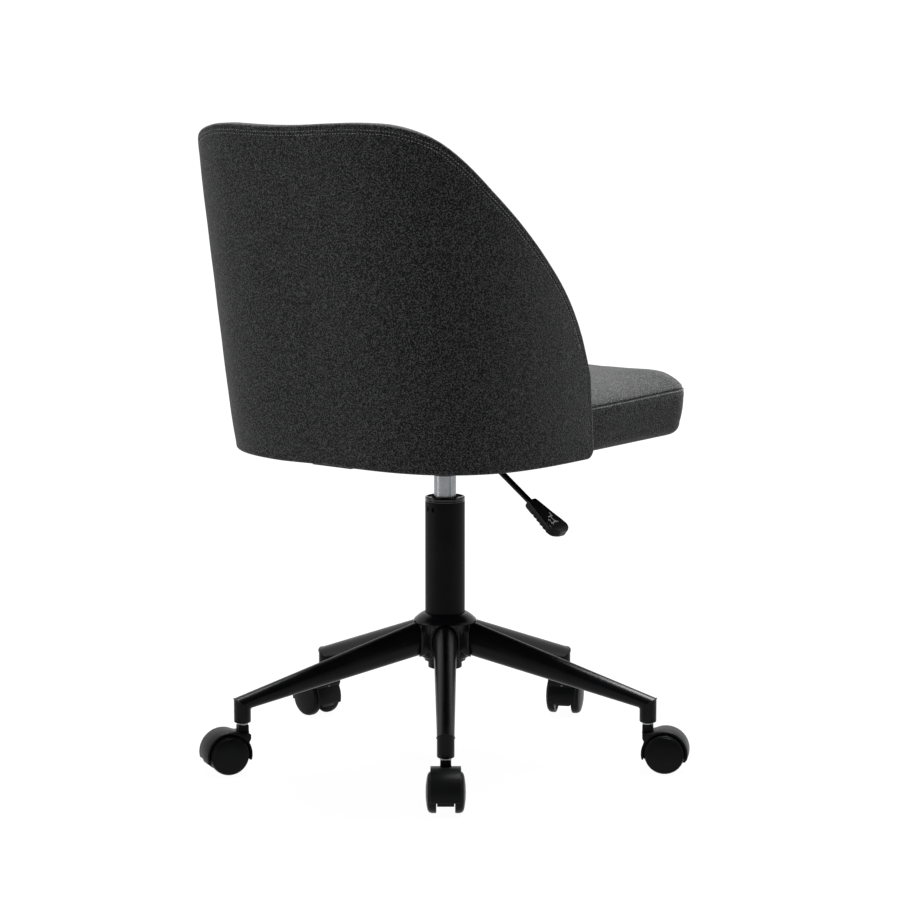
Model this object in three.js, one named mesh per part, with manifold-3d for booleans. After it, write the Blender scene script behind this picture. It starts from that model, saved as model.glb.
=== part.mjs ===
// Low-back upholstered swivel chair on a five-leg castered base.
// Millimetres, +Z up. The chair's front faces -Y and its lever is on the -X side.
import * as THREE from "three";
import { mergeVertices } from "three/addons/utils/BufferGeometryUtils.js";
import Module from "manifold-3d";

const wasm = await Module();
wasm.setup();

// ---- driving dimensions ----
const COLUMN_X = -3.2712; // column axis from the centre of the object's box
const COLUMN_Y = 12.1097;
const DEG = Math.PI / 180;

// five-leg base
const LEG_COUNT = 5;
const LEG_FIRST_ANGLE = 128.16; // degrees, seen from above, from +X
const CASTER_CIRCLE_R = 265.6;
const SOCKET_R = 10.6;
const SOCKET_BOTTOM_Z = 62.4;
const MITRE_Z = 86.1; // mid height of the leg-to-socket mitre
const MITRE_RISE = 6.5;
const LEG_ROOT_R = 27.8;
const LEG_ROOT_HALF_WIDTH = 14.9;
const LEG_TIP_HALF_WIDTH = 10.6;
const legTop = (r) => 174.5 - 0.3456 * (r - 39);
const legBottom = (r) => 132.5 - 0.237 * (r - 31.8);
const HUB_TOP_Z = 185.9;
const HUB_BOTTOM_Z = 124;

// gas column
const TUBE_R = 25;
const TUBE_WALL = 2;
const TUBE_TOP_Z = 327.6;
const TUBE_BOTTOM_Z = 115;
const BUSH_TOP_Z = 333.6;
const CYLINDER_R = 14;
const CYLINDER_BOTTOM_Z = 135;
const CYLINDER_TOP_Z = 386;
const ROD_R = 5;

// casters
const WHEEL_SEGMENTS = 20;
const WHEEL_R = 25.4;
const AXLE_Z = WHEEL_R * Math.cos(Math.PI / WHEEL_SEGMENTS); // wheels stand on a flat of the polygon
const CASTER_TRAIL = 22;
const CASTER_ANGLES = [128, 209.95, 295.9, 348, 59]; // direction each caster trails in
const HOOD_R = 29.2;
const HOOD_INNER_R = 26.8;
const HOOD_HALF_WIDTH = 18.4;
const WEB_HALF_WIDTH = 10.2;
const WHEEL_INNER_Y = 11.2;
const WHEEL_OUTER_Y = 24;
const NECK_TOP_Z = 59.4;

// back shell: superelliptic plan, flared and reclined
const BACK_A = 222;
const BACK_B = 252.8;
const BACK_N = 3.24;
const BACK_Y0 = -12.6;
const BACK_BOTTOM_Z = 404.1;
const BACK_FLARE = 0.042;
const BACK_RECLINE = Math.tan(0.133);
const BACK_FRONT_Y = -13; // front edge of the wings
const BACK_THICKNESS = 31;
// height of the shell's edge against distance round the plan, as a fraction of its half length
const BACK_EDGE = [
  [0, 815.7],
  [0.1, 817],
  [0.19, 818.6],
  [0.26, 819.6],
  [0.31, 819.4],
  [0.36, 816.2],
  [0.41, 809.5],
  [0.46, 798.5],
  [0.53, 774],
  [0.62, 735.5],
  [0.72, 693],
  [0.82, 647.5],
  [0.9, 603],
  [0.96, 552],
  [1, 497],
];

// seat
const SEAT_HALF_WIDTH = 193;
const SEAT_FRONT_Y = -291;
const SEAT_FRONT_BOW = 14;
const SEAT_CORNER_R = 46;
const SEAT_BOTTOM_Z = 402;
const SEAT_SEAM_Z = 449;
const SEAT_CROWN = 34;
const SEAT_BACK_GAP = 2;
const BOARD_BOTTOM_Z = 404.4;
const BOARD_TOP_Z = 416.2;

// height mechanism and lever, the lever lying in the plane y = 0 on the -X side
const PLATE_TOP_Z = 402.7;
const PLATE_GAUGE = 2.5;
const CHANNEL_HALF = 33;
const CHANNEL_FLOOR_Z = 370;
const SLEEVE_BOTTOM_Z = 361.2;
const PIVOT_X = -30;
const PIVOT_Z = 388;
const LEVER_R = 3.8;
const LEVER_PATH = [
  [2, 396.2],
  [-16, 396.2],
  [-30, 388],
  [-60, 388],
  [-70, 385],
  [-89, 372.4],
  [-138.2, 337.1],
];
const GRIP_ANGLE = 34.5;
const GRIP_START = [-133.3, 340.6];
const GRIP_LENGTH = 59;

// ---- helpers ----
const V3 = (x, y, z) => new THREE.Vector3(x, y, z);

// Vertices merged, flat triangles dropped and faces turned outwards.
function clean(geometry) {
  const bare = new THREE.BufferGeometry().setAttribute(
    "position",
    (geometry.index ? geometry.toNonIndexed() : geometry).getAttribute(
      "position",
    ),
  );
  const merged = mergeVertices(bare, 1e-3);
  const p = merged.attributes.position.array;
  const tris = [];
  let volume = 0;
  for (let i = 0; i < merged.index.count; i += 3) {
    const [a, b, c] = [0, 1, 2].map((k) => merged.index.getX(i + k));
    if (a === b || b === c || a === c) continue;
    tris.push(a, b, c);
    const [A, B, C] = [a, b, c].map((k) => V3(p[3 * k], p[3 * k + 1], p[3 * k + 2]));
    volume += A.dot(B.cross(C)) / 6;
  }
  if (volume < 0)
    for (let i = 0; i < tris.length; i += 3)
      [tris[i + 1], tris[i + 2]] = [tris[i + 2], tris[i + 1]];
  merged.setIndex(tris);
  return merged;
}

function solid(geometry) {
  const g = clean(geometry);
  return new wasm.Manifold(
    new wasm.Mesh({
      numProp: 3,
      vertProperties: new Float32Array(g.attributes.position.array),
      triVerts: new Uint32Array(g.index.array),
    }),
  );
}

function geometryOf(manifold) {
  const m = manifold.getMesh();
  const v = new Float32Array(m.numVert * 3);
  for (let i = 0; i < m.numVert; i++)
    v.set(m.vertProperties.subarray(i * m.numProp, i * m.numProp + 3), i * 3);
  return new THREE.BufferGeometry()
    .setAttribute("position", new THREE.BufferAttribute(v, 3))
    .setIndex(new THREE.BufferAttribute(new Uint32Array(m.triVerts), 1));
}

const join = (...parts) =>
  geometryOf(parts.map(solid).reduce((a, b) => a.add(b)));
const cut = (body, ...tools) =>
  geometryOf(tools.map(solid).reduce((a, b) => a.subtract(b), solid(body)));

// Solid of revolution about +Z from a closed profile of [radius, z].
function turned(profile, segments, phase = 0) {
  const points = [...profile, profile[0]].map(([r, z]) => new THREE.Vector2(r, z));
  return new THREE.LatheGeometry(points, segments)
    .rotateX(Math.PI / 2)
    .rotateZ(phase);
}
const rod = (r, z0, z1, segments = 12) =>
  turned([[0, z0], [r, z0], [r, z1], [0, z1]], segments);
const ring = (r0, r1, z0, z1, segments = 24) =>
  turned([[r0, z0], [r1, z0], [r1, z1], [r0, z1]], segments);

// Outline in X and Z, extruded along Y from y0 to y1.
function extrudedXZ(points, y0, y1) {
  const shape = new THREE.Shape(points.map(([x, z]) => new THREE.Vector2(x, z)));
  return new THREE.ExtrudeGeometry(shape, { depth: y1 - y0, bevelEnabled: false })
    .rotateX(Math.PI / 2)
    .translate(0, y1, 0);
}
// Outline in Y and Z, extruded along X from x0 to x1.
function extrudedYZ(points, x0, x1) {
  const shape = new THREE.Shape(points.map(([y, z]) => new THREE.Vector2(y, z)));
  const g = new THREE.ExtrudeGeometry(shape, { depth: x1 - x0, bevelEnabled: false });
  return g.applyMatrix4(
    new THREE.Matrix4().set(0, 0, 1, x0, 1, 0, 0, 0, 0, 1, 0, 0, 0, 0, 0, 1),
  );
}

// Closed solid through rings of points, its ends closed by fans.
function loft(rings) {
  const n = rings[0].length;
  const pos = [];
  const quad = (a, b, c, d) => pos.push(...a, ...b, ...c, ...a, ...c, ...d);
  for (let i = 0; i + 1 < rings.length; i++)
    for (let j = 0; j < n; j++)
      quad(rings[i][j], rings[i][(j + 1) % n], rings[i + 1][(j + 1) % n], rings[i + 1][j]);
  const cap = (loop, flip) => {
    const c = [0, 1, 2].map((k) => loop.reduce((s, p) => s + p[k], 0) / n);
    for (let j = 0; j < n; j++) {
      const [a, b] = flip ? [loop[(j + 1) % n], loop[j]] : [loop[j], loop[(j + 1) % n]];
      pos.push(...a, ...c, ...b);
    }
  };
  cap(rings[0], false);
  cap(rings[rings.length - 1], true);
  return new THREE.BufferGeometry().setAttribute(
    "position",
    new THREE.Float32BufferAttribute(pos, 3),
  );
}

// Closed solid between two grids of points of the same size.
function slab(front, back) {
  const rows = front.length;
  const cols = front[0].length;
  const pos = [];
  const quad = (a, b, c, d) => pos.push(...a, ...b, ...c, ...a, ...c, ...d);
  for (let i = 0; i + 1 < rows; i++)
    for (let j = 0; j + 1 < cols; j++) {
      quad(front[i][j], front[i][j + 1], front[i + 1][j + 1], front[i + 1][j]);
      quad(back[i][j], back[i + 1][j], back[i + 1][j + 1], back[i][j + 1]);
    }
  for (let j = 0; j + 1 < cols; j++) {
    quad(back[0][j], back[0][j + 1], front[0][j + 1], front[0][j]);
    quad(front[rows - 1][j], front[rows - 1][j + 1], back[rows - 1][j + 1], back[rows - 1][j]);
  }
  for (let i = 0; i + 1 < rows; i++) {
    quad(front[i][0], front[i + 1][0], back[i + 1][0], back[i][0]);
    quad(back[i][cols - 1], back[i + 1][cols - 1], front[i + 1][cols - 1], front[i][cols - 1]);
  }
  return new THREE.BufferGeometry().setAttribute(
    "position",
    new THREE.Float32BufferAttribute(pos, 3),
  );
}

const materials = {
  fabric: new THREE.MeshStandardMaterial({ color: 0x2b2c2e, roughness: 0.95 }),
  black_paint: new THREE.MeshStandardMaterial({ color: 0x0e0f10, roughness: 0.45, metalness: 0.3 }),
  nylon: new THREE.MeshStandardMaterial({ color: 0x17181a, roughness: 0.6 }),
  steel: new THREE.MeshStandardMaterial({ color: 0x9da3a6, roughness: 0.35, metalness: 0.9 }),
  wood: new THREE.MeshStandardMaterial({ color: 0xb08a5a, roughness: 0.8 }),
};
const chair = new THREE.Group();
const column = new THREE.Group();
column.position.set(COLUMN_X, COLUMN_Y, 0);
chair.add(column);
function add(name, geometry, material, parent = column) {
  const mesh = new THREE.Mesh(geometry, materials[material]);
  mesh.name = name;
  parent.add(mesh);
  return mesh;
}

// ---- base ----
// Domed cast hub: flange over a drum, stepped below, bored to the column's taper.
const hubBlank = turned(
  [
    [25.35, HUB_TOP_Z], [30, 184.3], [36.2, 179.6], [39.9, 175], [37.2, 168.5],
    [33, 157], [32.2, 132], [29.6, 129], [26.3, 128.4], [26.3, HUB_BOTTOM_Z], [21.7, HUB_BOTTOM_Z],
    [25.35, 150],
  ],
  30,
);
const LEG_SIDES = 16;
function legRing(r, grow = 0) {
  const t = (r - LEG_ROOT_R) / (CASTER_CIRCLE_R - LEG_ROOT_R);
  const w = LEG_ROOT_HALF_WIDTH + (LEG_TIP_HALF_WIDTH - LEG_ROOT_HALF_WIDTH) * t + grow;
  const h = (legTop(r) - legBottom(r)) / 2 + grow;
  const c = (legTop(r) + legBottom(r)) / 2;
  return Array.from({ length: LEG_SIDES }, (_, k) => {
    const a = (2 * Math.PI * k) / LEG_SIDES;
    return [r, w * Math.cos(a), c + h * Math.sin(a)];
  });
}
const mitreRing = (drop) =>
  Array.from({ length: LEG_SIDES }, (_, k) => {
    const a = (2 * Math.PI * k) / LEG_SIDES;
    return [
      CASTER_CIRCLE_R + SOCKET_R * Math.sin(a),
      SOCKET_R * Math.cos(a),
      MITRE_Z + MITRE_RISE * Math.sin(a) - drop,
    ];
  });
const legSolid = () =>
  loft([legRing(LEG_ROOT_R), legRing(140), legRing(250), mitreRing(0)]);
const socketBottom = Array.from({ length: LEG_SIDES }, (_, k) => {
  const a = (2 * Math.PI * k) / LEG_SIDES;
  return [CASTER_CIRCLE_R + SOCKET_R * Math.sin(a), SOCKET_R * Math.cos(a), SOCKET_BOTTOM_Z];
});
const socketSolid = () =>
  cut(
    loft([mitreRing(0.35), socketBottom]),
    rod(6.9, SOCKET_BOTTOM_Z - 2, 80, 8).translate(CASTER_CIRCLE_R, 0, 0),
  );

const legAngles = Array.from({ length: LEG_COUNT }, (_, k) => (LEG_FIRST_ANGLE + 72 * k) * DEG);
const pockets = legAngles.map((a) =>
  loft([legRing(LEG_ROOT_R - 0.35, 1.2), legRing(52, 1.2)]).rotateZ(a),
);
add("base_hub", cut(hubBlank, ...pockets), "black_paint");
legAngles.forEach((a, k) => {
  const leg = new THREE.Group();
  leg.rotation.z = a;
  column.add(leg);
  add(`leg_${k + 1}`, clean(legSolid()), "black_paint", leg);
  add(`caster_socket_${k + 1}`, socketSolid(), "black_paint", leg);
});

// Column tube, tapered where the hub grips it, with an end plate that carries the bearing
// and two locking dimples near the top.
const dimple = (deg) =>
  rod(1.9, 15, 30, 6)
    .scale(1, 1.5, 1)
    .rotateY(Math.PI / 2)
    .rotateX(Math.PI / 2)
    .rotateZ(deg * DEG)
    .translate(0, 0, 319.5);
add(
  "stand_tube",
  cut(
    turned(
      [
        [TUBE_R, TUBE_TOP_Z], [TUBE_R, 150], [21.35, 124], [21.2, TUBE_BOTTOM_Z],
        [19.2, TUBE_BOTTOM_Z], [19.2, 119], [5.6, 119], [5.6, 122], [19.2, 122],
        [TUBE_R - TUBE_WALL, 150], [TUBE_R - TUBE_WALL, TUBE_TOP_Z],
      ],
      24,
    ),
    dimple(67.7),
    dimple(90),
  ),
  "black_paint",
);
add(
  "guide_bush",
  clean(
    turned(
      [
        [14.5, 262], [22.5, 262], [22.5, TUBE_TOP_Z + 0.3], [25, TUBE_TOP_Z + 0.3],
        [25, BUSH_TOP_Z], [21.5, BUSH_TOP_Z], [14.5, BUSH_TOP_Z - 3],
      ],
      24,
    ),
  ),
  "nylon",
);

// ---- spindle: piston rod on its thrust bearing ----
add(
  "piston_rod",
  clean(
    turned(
      [
        [0, 115.3], [ROD_R, 115.3], [ROD_R, 128.6], [7, 128.6], [7, 131.5],
        [ROD_R, 131.5], [ROD_R, 292], [12, 292], [12, 300], [0, 300],
      ],
      12,
    ),
  ),
  "steel",
);
add("thrust_bearing_cage", clean(ring(5.6, 13, 122.3, 126, 16)), "steel");
add("thrust_bearing_race", clean(ring(5.4, 14, 126.3, 128.3, 16)), "steel");
add("rod_clip", clean(ring(5.4, 9.5, 116.4, 118.4, 12)), "steel");

// ---- seat assembly ----
// Gas cylinder, its top tapered for the sleeve and bored for the release button.
add(
  "gas_cylinder",
  clean(
    turned(
      [
        [5.6, CYLINDER_BOTTOM_Z], [CYLINDER_R, CYLINDER_BOTTOM_Z], [CYLINDER_R, 361],
        [13.2, CYLINDER_TOP_Z], [4.6, CYLINDER_TOP_Z], [4.6, 370], [0, 370], [0, 358],
        [12.4, 358], [12.4, 143], [5.6, 143],
      ],
      20,
    ),
  ),
  "steel",
);
add(
  "taper_sleeve",
  clean(
    turned(
      [
        [14.5, SLEEVE_BOTTOM_Z], [16, SLEEVE_BOTTOM_Z], [16, 372.9], [21, 372.9],
        [21, 375.4], [16, 375.4], [16, 386.4], [13.7, 386.4],
      ],
      20,
    ),
  ),
  "black_paint",
);
// Pressed plate: a hat section with open ends and two ears for the lever's pin.
{
  const f = PLATE_TOP_Z;
  const g = PLATE_GAUGE;
  const c = CHANNEL_HALF;
  const z0 = CHANNEL_FLOOR_Z;
  const hat = extrudedYZ(
    [
      [-78, f - g], [-c - g, f - g], [-c, z0], [c, z0], [c + g, f - g], [78, f - g],
      [78, f], [c, f], [c - g, z0 + g], [-c + g, z0 + g], [-c, f], [-78, f],
    ],
    -76,
    76,
  );
  const ear = (y0, y1) =>
    extrudedXZ([[-42, z0 + 1], [-22.5, z0 + 1], [-23.5, PIVOT_Z + 4.5], [-27, PIVOT_Z + 7], [-33, PIVOT_Z + 7], [-37, PIVOT_Z + 4.5]], y0, y1);
  const holes = [[-62, -56], [62, -56], [62, 56], [-62, 56]].map(([x, y]) =>
    rod(4.9, f - 10, f + 5, 8).translate(x, y, 0),
  );
  add(
    "seat_plate",
    cut(
      join(hat, ear(-9.2, -6.7), ear(6.7, 9.2)),
      rod(16.8, z0 - 3, z0 + 6, 16),
      ...[-1, 1].map((e) =>
        extrudedXZ(
          e < 0
            ? [[-42, z0 - 2], [-79, z0 + 12.5], [-79, z0 - 2]]
            : [[42, z0 - 2], [79, z0 - 2], [79, z0 + 12.5]],
          -c - g - 1,
          c + g + 1,
        ),
      ),
      rod(3, -20, 20, 8).rotateX(Math.PI / 2).translate(PIVOT_X, 0, PIVOT_Z),
      ...holes,
    ),
    "black_paint",
  );
  [[-62, -56], [62, -56], [62, 56], [-62, 56]].forEach(([x, y], k) =>
    add(
      `seat_bolt_${k + 1}`,
      join(rod(4, f - g - 1, 413, 8), rod(7, f - g - 6, f - g - 0.3, 6)).translate(x, y, 0),
      "steel",
    ),
  );
}
add(
  "lever_pin",
  clean(rod(2.5, -11, 11, 8).rotateX(Math.PI / 2).translate(PIVOT_X, 0, PIVOT_Z)),
  "steel",
);

// Plan curve of the back: points from the rear centre round to the wing's front edge.
const PLAN = [];
{
  for (let i = 0; i <= 160; i++) {
    const t = (Math.PI / 2) * (i / 160);
    PLAN.push([
      BACK_A * Math.pow(Math.sin(t), 2 / BACK_N),
      BACK_B * Math.pow(Math.max(0, Math.cos(t)), 2 / BACK_N),
    ]);
  }
  PLAN.push([BACK_A, BACK_FRONT_Y - BACK_Y0]);
}
const PLAN_S = [0];
for (let i = 1; i < PLAN.length; i++)
  PLAN_S.push(PLAN_S[i - 1] + Math.hypot(PLAN[i][0] - PLAN[i - 1][0], PLAN[i][1] - PLAN[i - 1][1]));
const PLAN_LENGTH = PLAN_S[PLAN_S.length - 1];
function planAt(s) {
  let i = 1;
  while (i < PLAN_S.length - 1 && PLAN_S[i] < s) i++;
  const t = (s - PLAN_S[i - 1]) / (PLAN_S[i] - PLAN_S[i - 1]);
  return [0, 1].map((k) => PLAN[i - 1][k] + t * (PLAN[i][k] - PLAN[i - 1][k]));
}
// Point and inward normal of the plan at signed fraction u.
function planPoint(u) {
  const s = Math.min(1, Math.abs(u)) * PLAN_LENGTH;
  const [x, y] = planAt(s);
  const [xa, ya] = planAt(Math.max(0, s - 4));
  const [xb, yb] = planAt(Math.min(PLAN_LENGTH, s + 4));
  const l = Math.hypot(xb - xa, yb - ya);
  const n = s < 1e-6 ? [0, -1] : [(yb - ya) / l, -(xb - xa) / l];
  const side = u < 0 ? -1 : 1;
  return [side * x, y, side * n[0], n[1]];
}
// Height of the shell's edge at fraction u, by cubic pieces through BACK_EDGE.
function edgeHeight(u) {
  const P = BACK_EDGE;
  const x = Math.min(1, Math.abs(u));
  let i = 1;
  while (i < P.length - 1 && P[i][0] < x) i++;
  const slope = (k) => {
    if (k === 0) return 0;
    const a = P[Math.max(0, k - 1)];
    const b = P[Math.min(P.length - 1, k + 1)];
    return (b[1] - a[1]) / (b[0] - a[0]);
  };
  const [x0, y0] = P[i - 1];
  const [x1, y1] = P[i];
  const h = x1 - x0;
  const t = (x - x0) / h;
  return (
    y0 * (1 + 2 * t) * (1 - t) ** 2 + slope(i - 1) * h * t * (1 - t) ** 2 +
    y1 * t * t * (3 - 2 * t) + slope(i) * h * t * t * (t - 1)
  );
}
function backPoint(u, z, depth) {
  const [x, y, nx, ny] = planPoint(u);
  const px = x + nx * depth;
  const py = y + ny * depth;
  const dz = z - BACK_BOTTOM_Z;
  return [px * (1 + (BACK_FLARE * dz) / BACK_A), BACK_Y0 + py + BACK_RECLINE * dz, z];
}
const BACK_US = [0, 0.14, 0.26, 0.36, 0.43, 0.5, 0.6, 0.7, 0.8, 0.9, 0.96, 1];
function backGrid(depth, inset, side = inset, rows = 3) {
  const half = BACK_US.map((u) => Math.min(u, 1 - side / PLAN_LENGTH));
  const us = [...half.slice(1).map((u) => -u).reverse(), ...half];
  return Array.from({ length: rows + 1 }, (_, i) =>
    us.map((u) => {
      const corner = Math.max(0, (Math.abs(u) - 0.97) / 0.03);
      const z0 = BACK_BOTTOM_Z + inset + 9 * corner * corner;
      const z1 = edgeHeight(u) - inset - (inset > 0 ? 10 * Math.min(1, Math.abs(u)) : 0);
      return backPoint(u, z0 + ((z1 - z0) * i) / rows, depth);
    }),
  );
}
add(
  "back_outer_cover",
  cut(slab(backGrid(0, 0), backGrid(16.3, 0)), slab(backGrid(8, 9.4, 10), backGrid(19, 9.4, 10))),
  "fabric",
);
add("back_core", clean(slab(backGrid(8.4, 12, 10.6), backGrid(16, 12, 10.6))), "wood");
add("back_inner_pad", clean(slab(backGrid(20, 0), backGrid(BACK_THICKNESS, 0))), "fabric");
// Steel strap from under the seat up the front of the back's core.
{
  const g = 2.1;
  const z0 = SEAT_BOTTOM_Z - 0.3;
  const rise = 70;
  const face = (z) => BACK_Y0 + BACK_B - 17.45 + BACK_RECLINE * (z - BACK_BOTTOM_Z);
  add(
    "back_bracket",
    clean(
      extrudedYZ(
        [
          [96, z0 - g], [face(z0 - g), z0 - g], [face(z0 + rise), z0 + rise],
          [face(z0 + rise) - g, z0 + rise], [face(z0) - g, z0], [96, z0],
        ],
        -30,
        30,
      ),
    ),
    "black_paint",
  );
}

// Seat outline, inset, at a height: straight sides, rounded front corners, a slight bow
// at the front, and the back pad's inner curve at the rear.
function seatOutline(inset, z) {
  const pts = [];
  const lean = BACK_RECLINE * Math.max(0, z - BACK_BOTTOM_Z);
  const halfWidth = SEAT_HALF_WIDTH - inset;
  const front = SEAT_FRONT_Y + inset;
  const r = Math.max(6, SEAT_CORNER_R - inset);
  const rear = [];
  for (let k = 0; k <= 7; k++) {
    const u = [0, 0.16, 0.29, 0.38, 0.45, 0.52, 0.64, 0.86][k];
    const [x, y, nx, ny] = planPoint(u);
    const d = BACK_THICKNESS + SEAT_BACK_GAP + inset;
    const px = Math.min(halfWidth, x + nx * d);
    const py = BACK_Y0 + y + ny * d;
    rear.push([Math.max(0, px), py + lean * Math.min(1, Math.max(0, py / 120))]);
  }
  const right = [...rear];
  right.push([halfWidth, -75], [halfWidth, -150]);
  const cy = front + SEAT_FRONT_BOW + r;
  for (let k = 0; k <= 3; k++) {
    const a = (k / 3) * (Math.PI / 2);
    right.push([halfWidth - r + r * Math.cos(a), cy - r * Math.sin(a)]);
  }
  const span = halfWidth - r;
  for (const t of [0.5]) right.push([span * t, front + SEAT_FRONT_BOW * t * t]);
  right.push([0, front]);
  for (const p of right) pts.push([p[0], p[1], z]);
  for (const p of right.slice(1, -1).reverse()) pts.push([-p[0], p[1], z]);
  return pts;
}
add(
  "seat_cushion",
  cut(
    loft([
      seatOutline(17, SEAT_BOTTOM_Z),
      seatOutline(5, SEAT_BOTTOM_Z + 9),
      seatOutline(0, SEAT_SEAM_Z),
      seatOutline(8, SEAT_SEAM_Z + 19),
      seatOutline(31, SEAT_SEAM_Z + SEAT_CROWN - 4),
      seatOutline(72, SEAT_SEAM_Z + SEAT_CROWN),
    ]),
    loft([seatOutline(24, SEAT_BOTTOM_Z - 3), seatOutline(24, BOARD_TOP_Z + 0.3)]),
  ),
  "fabric",
);
add(
  "seat_board",
  cut(
    loft([seatOutline(24.4, BOARD_BOTTOM_Z), seatOutline(24.4, BOARD_TOP_Z)]),
    ...[[-62, -56], [62, -56], [62, 56], [-62, 56]].map(([x, y]) =>
      rod(4.7, BOARD_BOTTOM_Z - 2, 413.6, 8).translate(x, y, 0),
    ),
  ),
  "wood",
);
add(
  "seat_dust_cover",
  cut(
    loft([seatOutline(25.5, PLATE_TOP_Z + 0.3), seatOutline(25.5, BOARD_BOTTOM_Z - 0.3)]),
    ...[[-62, -56], [62, -56], [62, 56], [-62, 56]].map(([x, y]) =>
      rod(4.9, PLATE_TOP_Z - 2, BOARD_BOTTOM_Z + 2, 8).translate(x, y, 0),
    ),
  ),
  "fabric",
);

// ---- release button and lever ----
add("release_button", clean(rod(4, 376, 391.9, 10)), "steel");
{
  // Round bar bent in its plane: a ring square to the path at each bend.
  const rings = LEVER_PATH.map(([x, z], i) => {
    const a = LEVER_PATH[Math.max(0, i - 1)];
    const b = LEVER_PATH[Math.min(LEVER_PATH.length - 1, i + 1)];
    const l = Math.hypot(b[0] - a[0], b[1] - a[1]);
    const [tx, tz] = [(b[0] - a[0]) / l, (b[1] - a[1]) / l];
    return Array.from({ length: 10 }, (_, k) => {
      const t = (2 * Math.PI * k) / 10;
      const n = LEVER_R * Math.cos(t);
      return [x - tz * n, LEVER_R * Math.sin(t), z + tx * n];
    });
  });
  const eye = rod(6.2, -6.3, 6.3, 12).rotateX(Math.PI / 2).translate(PIVOT_X, 0, PIVOT_Z);
  const bore = rod(3, -10, 10, 8).rotateX(Math.PI / 2).translate(PIVOT_X, 0, PIVOT_Z);
  add(
    "lever_rod",
    geometryOf(solid(loft(rings)).add(solid(eye)).subtract(solid(bore))),
    "black_paint",
  );

  // Paddle grip, in its own frame: u along the lever, y across, n square to both.
  const stations = [
    [0, 6.6, -5.4, 4.6], [2, 8.2, -6.0, 5.2], [12, 10.2, -6.4, 5.4], [26, 13, -6.8, 5.4],
    [38, 15.6, -7.0, 5.2], [46, 16.8, -7.0, 5.0], [52, 15.8, -6.6, 4.6], [56.5, 12.4, -5.6, 3.8],
    [GRIP_LENGTH, 7, -3.6, 2],
  ];
  const c = Math.cos(GRIP_ANGLE * DEG);
  const s = Math.sin(GRIP_ANGLE * DEG);
  const gripRings = stations.map(([u, w, low, high]) => {
    const outline = [
      [w, low + 3], [w, high - 2], [w - 2, high], [-w + 2, high], [-w, high - 2],
      [-w, low + 3], [-w + 3, low], [w - 3, low],
    ];
    return outline.map(([y, n]) => [
      GRIP_START[0] - u * c - n * s,
      y,
      GRIP_START[1] - u * s + n * c,
    ]);
  });
  const hole = rod(LEVER_R + 0.55, -4, 12, 10)
    .rotateY(-Math.PI / 2 - GRIP_ANGLE * DEG + 0)
    .translate(GRIP_START[0], 0, GRIP_START[1]);
  add("lever_grip", cut(loft(gripRings), hole), "nylon");
}

// ---- casters ----
const arc = (cx, cz, r, from, to, n) =>
  Array.from({ length: n + 1 }, (_, i) => {
    const a = (from + ((to - from) * i) / n) * DEG;
    return [cx + r * Math.cos(a), cz + r * Math.sin(a)];
  });
const cx = CASTER_TRAIL;
const hood = extrudedXZ(
  [
    ...arc(cx, AXLE_Z, HOOD_R, -14, 196, 13),
    ...arc(cx, AXLE_Z, HOOD_INNER_R, 196, -14, 13),
  ],
  -HOOD_HALF_WIDTH,
  HOOD_HALF_WIDTH,
);
const platform = extrudedXZ(
  [[-5.5, 50.2], [-5.5, 44.4], [-3.2, 39.9], [2, 45.6], [9, 50.2], [9.5, 51.2], [6, 50.4]],
  -HOOD_HALF_WIDTH,
  HOOD_HALF_WIDTH,
);
const neck = extrudedXZ(
  [[-6.6, 44.6], [6.6, 44.6], [6.6, NECK_TOP_Z - 1], [5.6, NECK_TOP_Z], [-5.6, NECK_TOP_Z], [-6.6, NECK_TOP_Z - 1]],
  -6.6,
  6.6,
);
const WEB_R = 28.4; // reaches into the hood all the way round
const webFloor = Math.asin((13.7 - AXLE_Z) / WEB_R) / DEG;
const web = extrudedXZ(
  [...arc(cx, AXLE_Z, WEB_R, webFloor, 190, 9), [cx - 23.5, 13.7]],
  -WEB_HALF_WIDTH,
  WEB_HALF_WIDTH,
);
const casterBody = () =>
  cut(
    join(hood, platform, neck, web),
    rod(3.6, -30, 30, 8).rotateX(Math.PI / 2).translate(cx, 0, AXLE_Z),
    rod(4.6, 40.5, NECK_TOP_Z + 3, 8),
  );
const casterStem = () =>
  clean(
    turned(
      [
        [0, 41.2], [4, 41.2], [4, 59.8], [7.2, 59.8], [7.2, 61.9], [5.5, 61.9], [5.5, 69],
        [6.1, 71], [5.5, 75], [5, 79.3], [0, 79.3],
      ],
      10,
    ),
  );
const wheelSolid = (side) => {
  const g = turned(
    [
      [3.5, WHEEL_INNER_Y], [WHEEL_R, WHEEL_INNER_Y], [WHEEL_R, 15.6], [24.3, 19],
      [20.6, 21.6], [13, 23.2], [0, WHEEL_OUTER_Y], [0, 19.4], [3.5, 19.4],
    ],
    WHEEL_SEGMENTS,
    Math.PI / WHEEL_SEGMENTS,
  );
  return clean(g.rotateX(side > 0 ? -Math.PI / 2 : Math.PI / 2)).translate(cx, 0, AXLE_Z);
};
legAngles.forEach((a, k) => {
  const caster = new THREE.Group();
  caster.position.set(CASTER_CIRCLE_R * Math.cos(a), CASTER_CIRCLE_R * Math.sin(a), 0);
  caster.rotation.z = CASTER_ANGLES[k] * DEG;
  column.add(caster);
  const n = k + 1;
  add(`caster_body_${n}`, casterBody(), "nylon", caster);
  add(`caster_stem_${n}`, casterStem(), "steel", caster);
  add(
    `caster_axle_${n}`,
    clean(rod(3, -19, 19, 8).rotateX(Math.PI / 2).translate(cx, 0, AXLE_Z)),
    "steel",
    caster,
  );
  add(`caster_wheel_${n}a`, wheelSolid(1), "nylon", caster);
  add(`caster_wheel_${n}b`, wheelSolid(-1), "nylon", caster);
});

export default chair;
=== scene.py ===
import math

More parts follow.
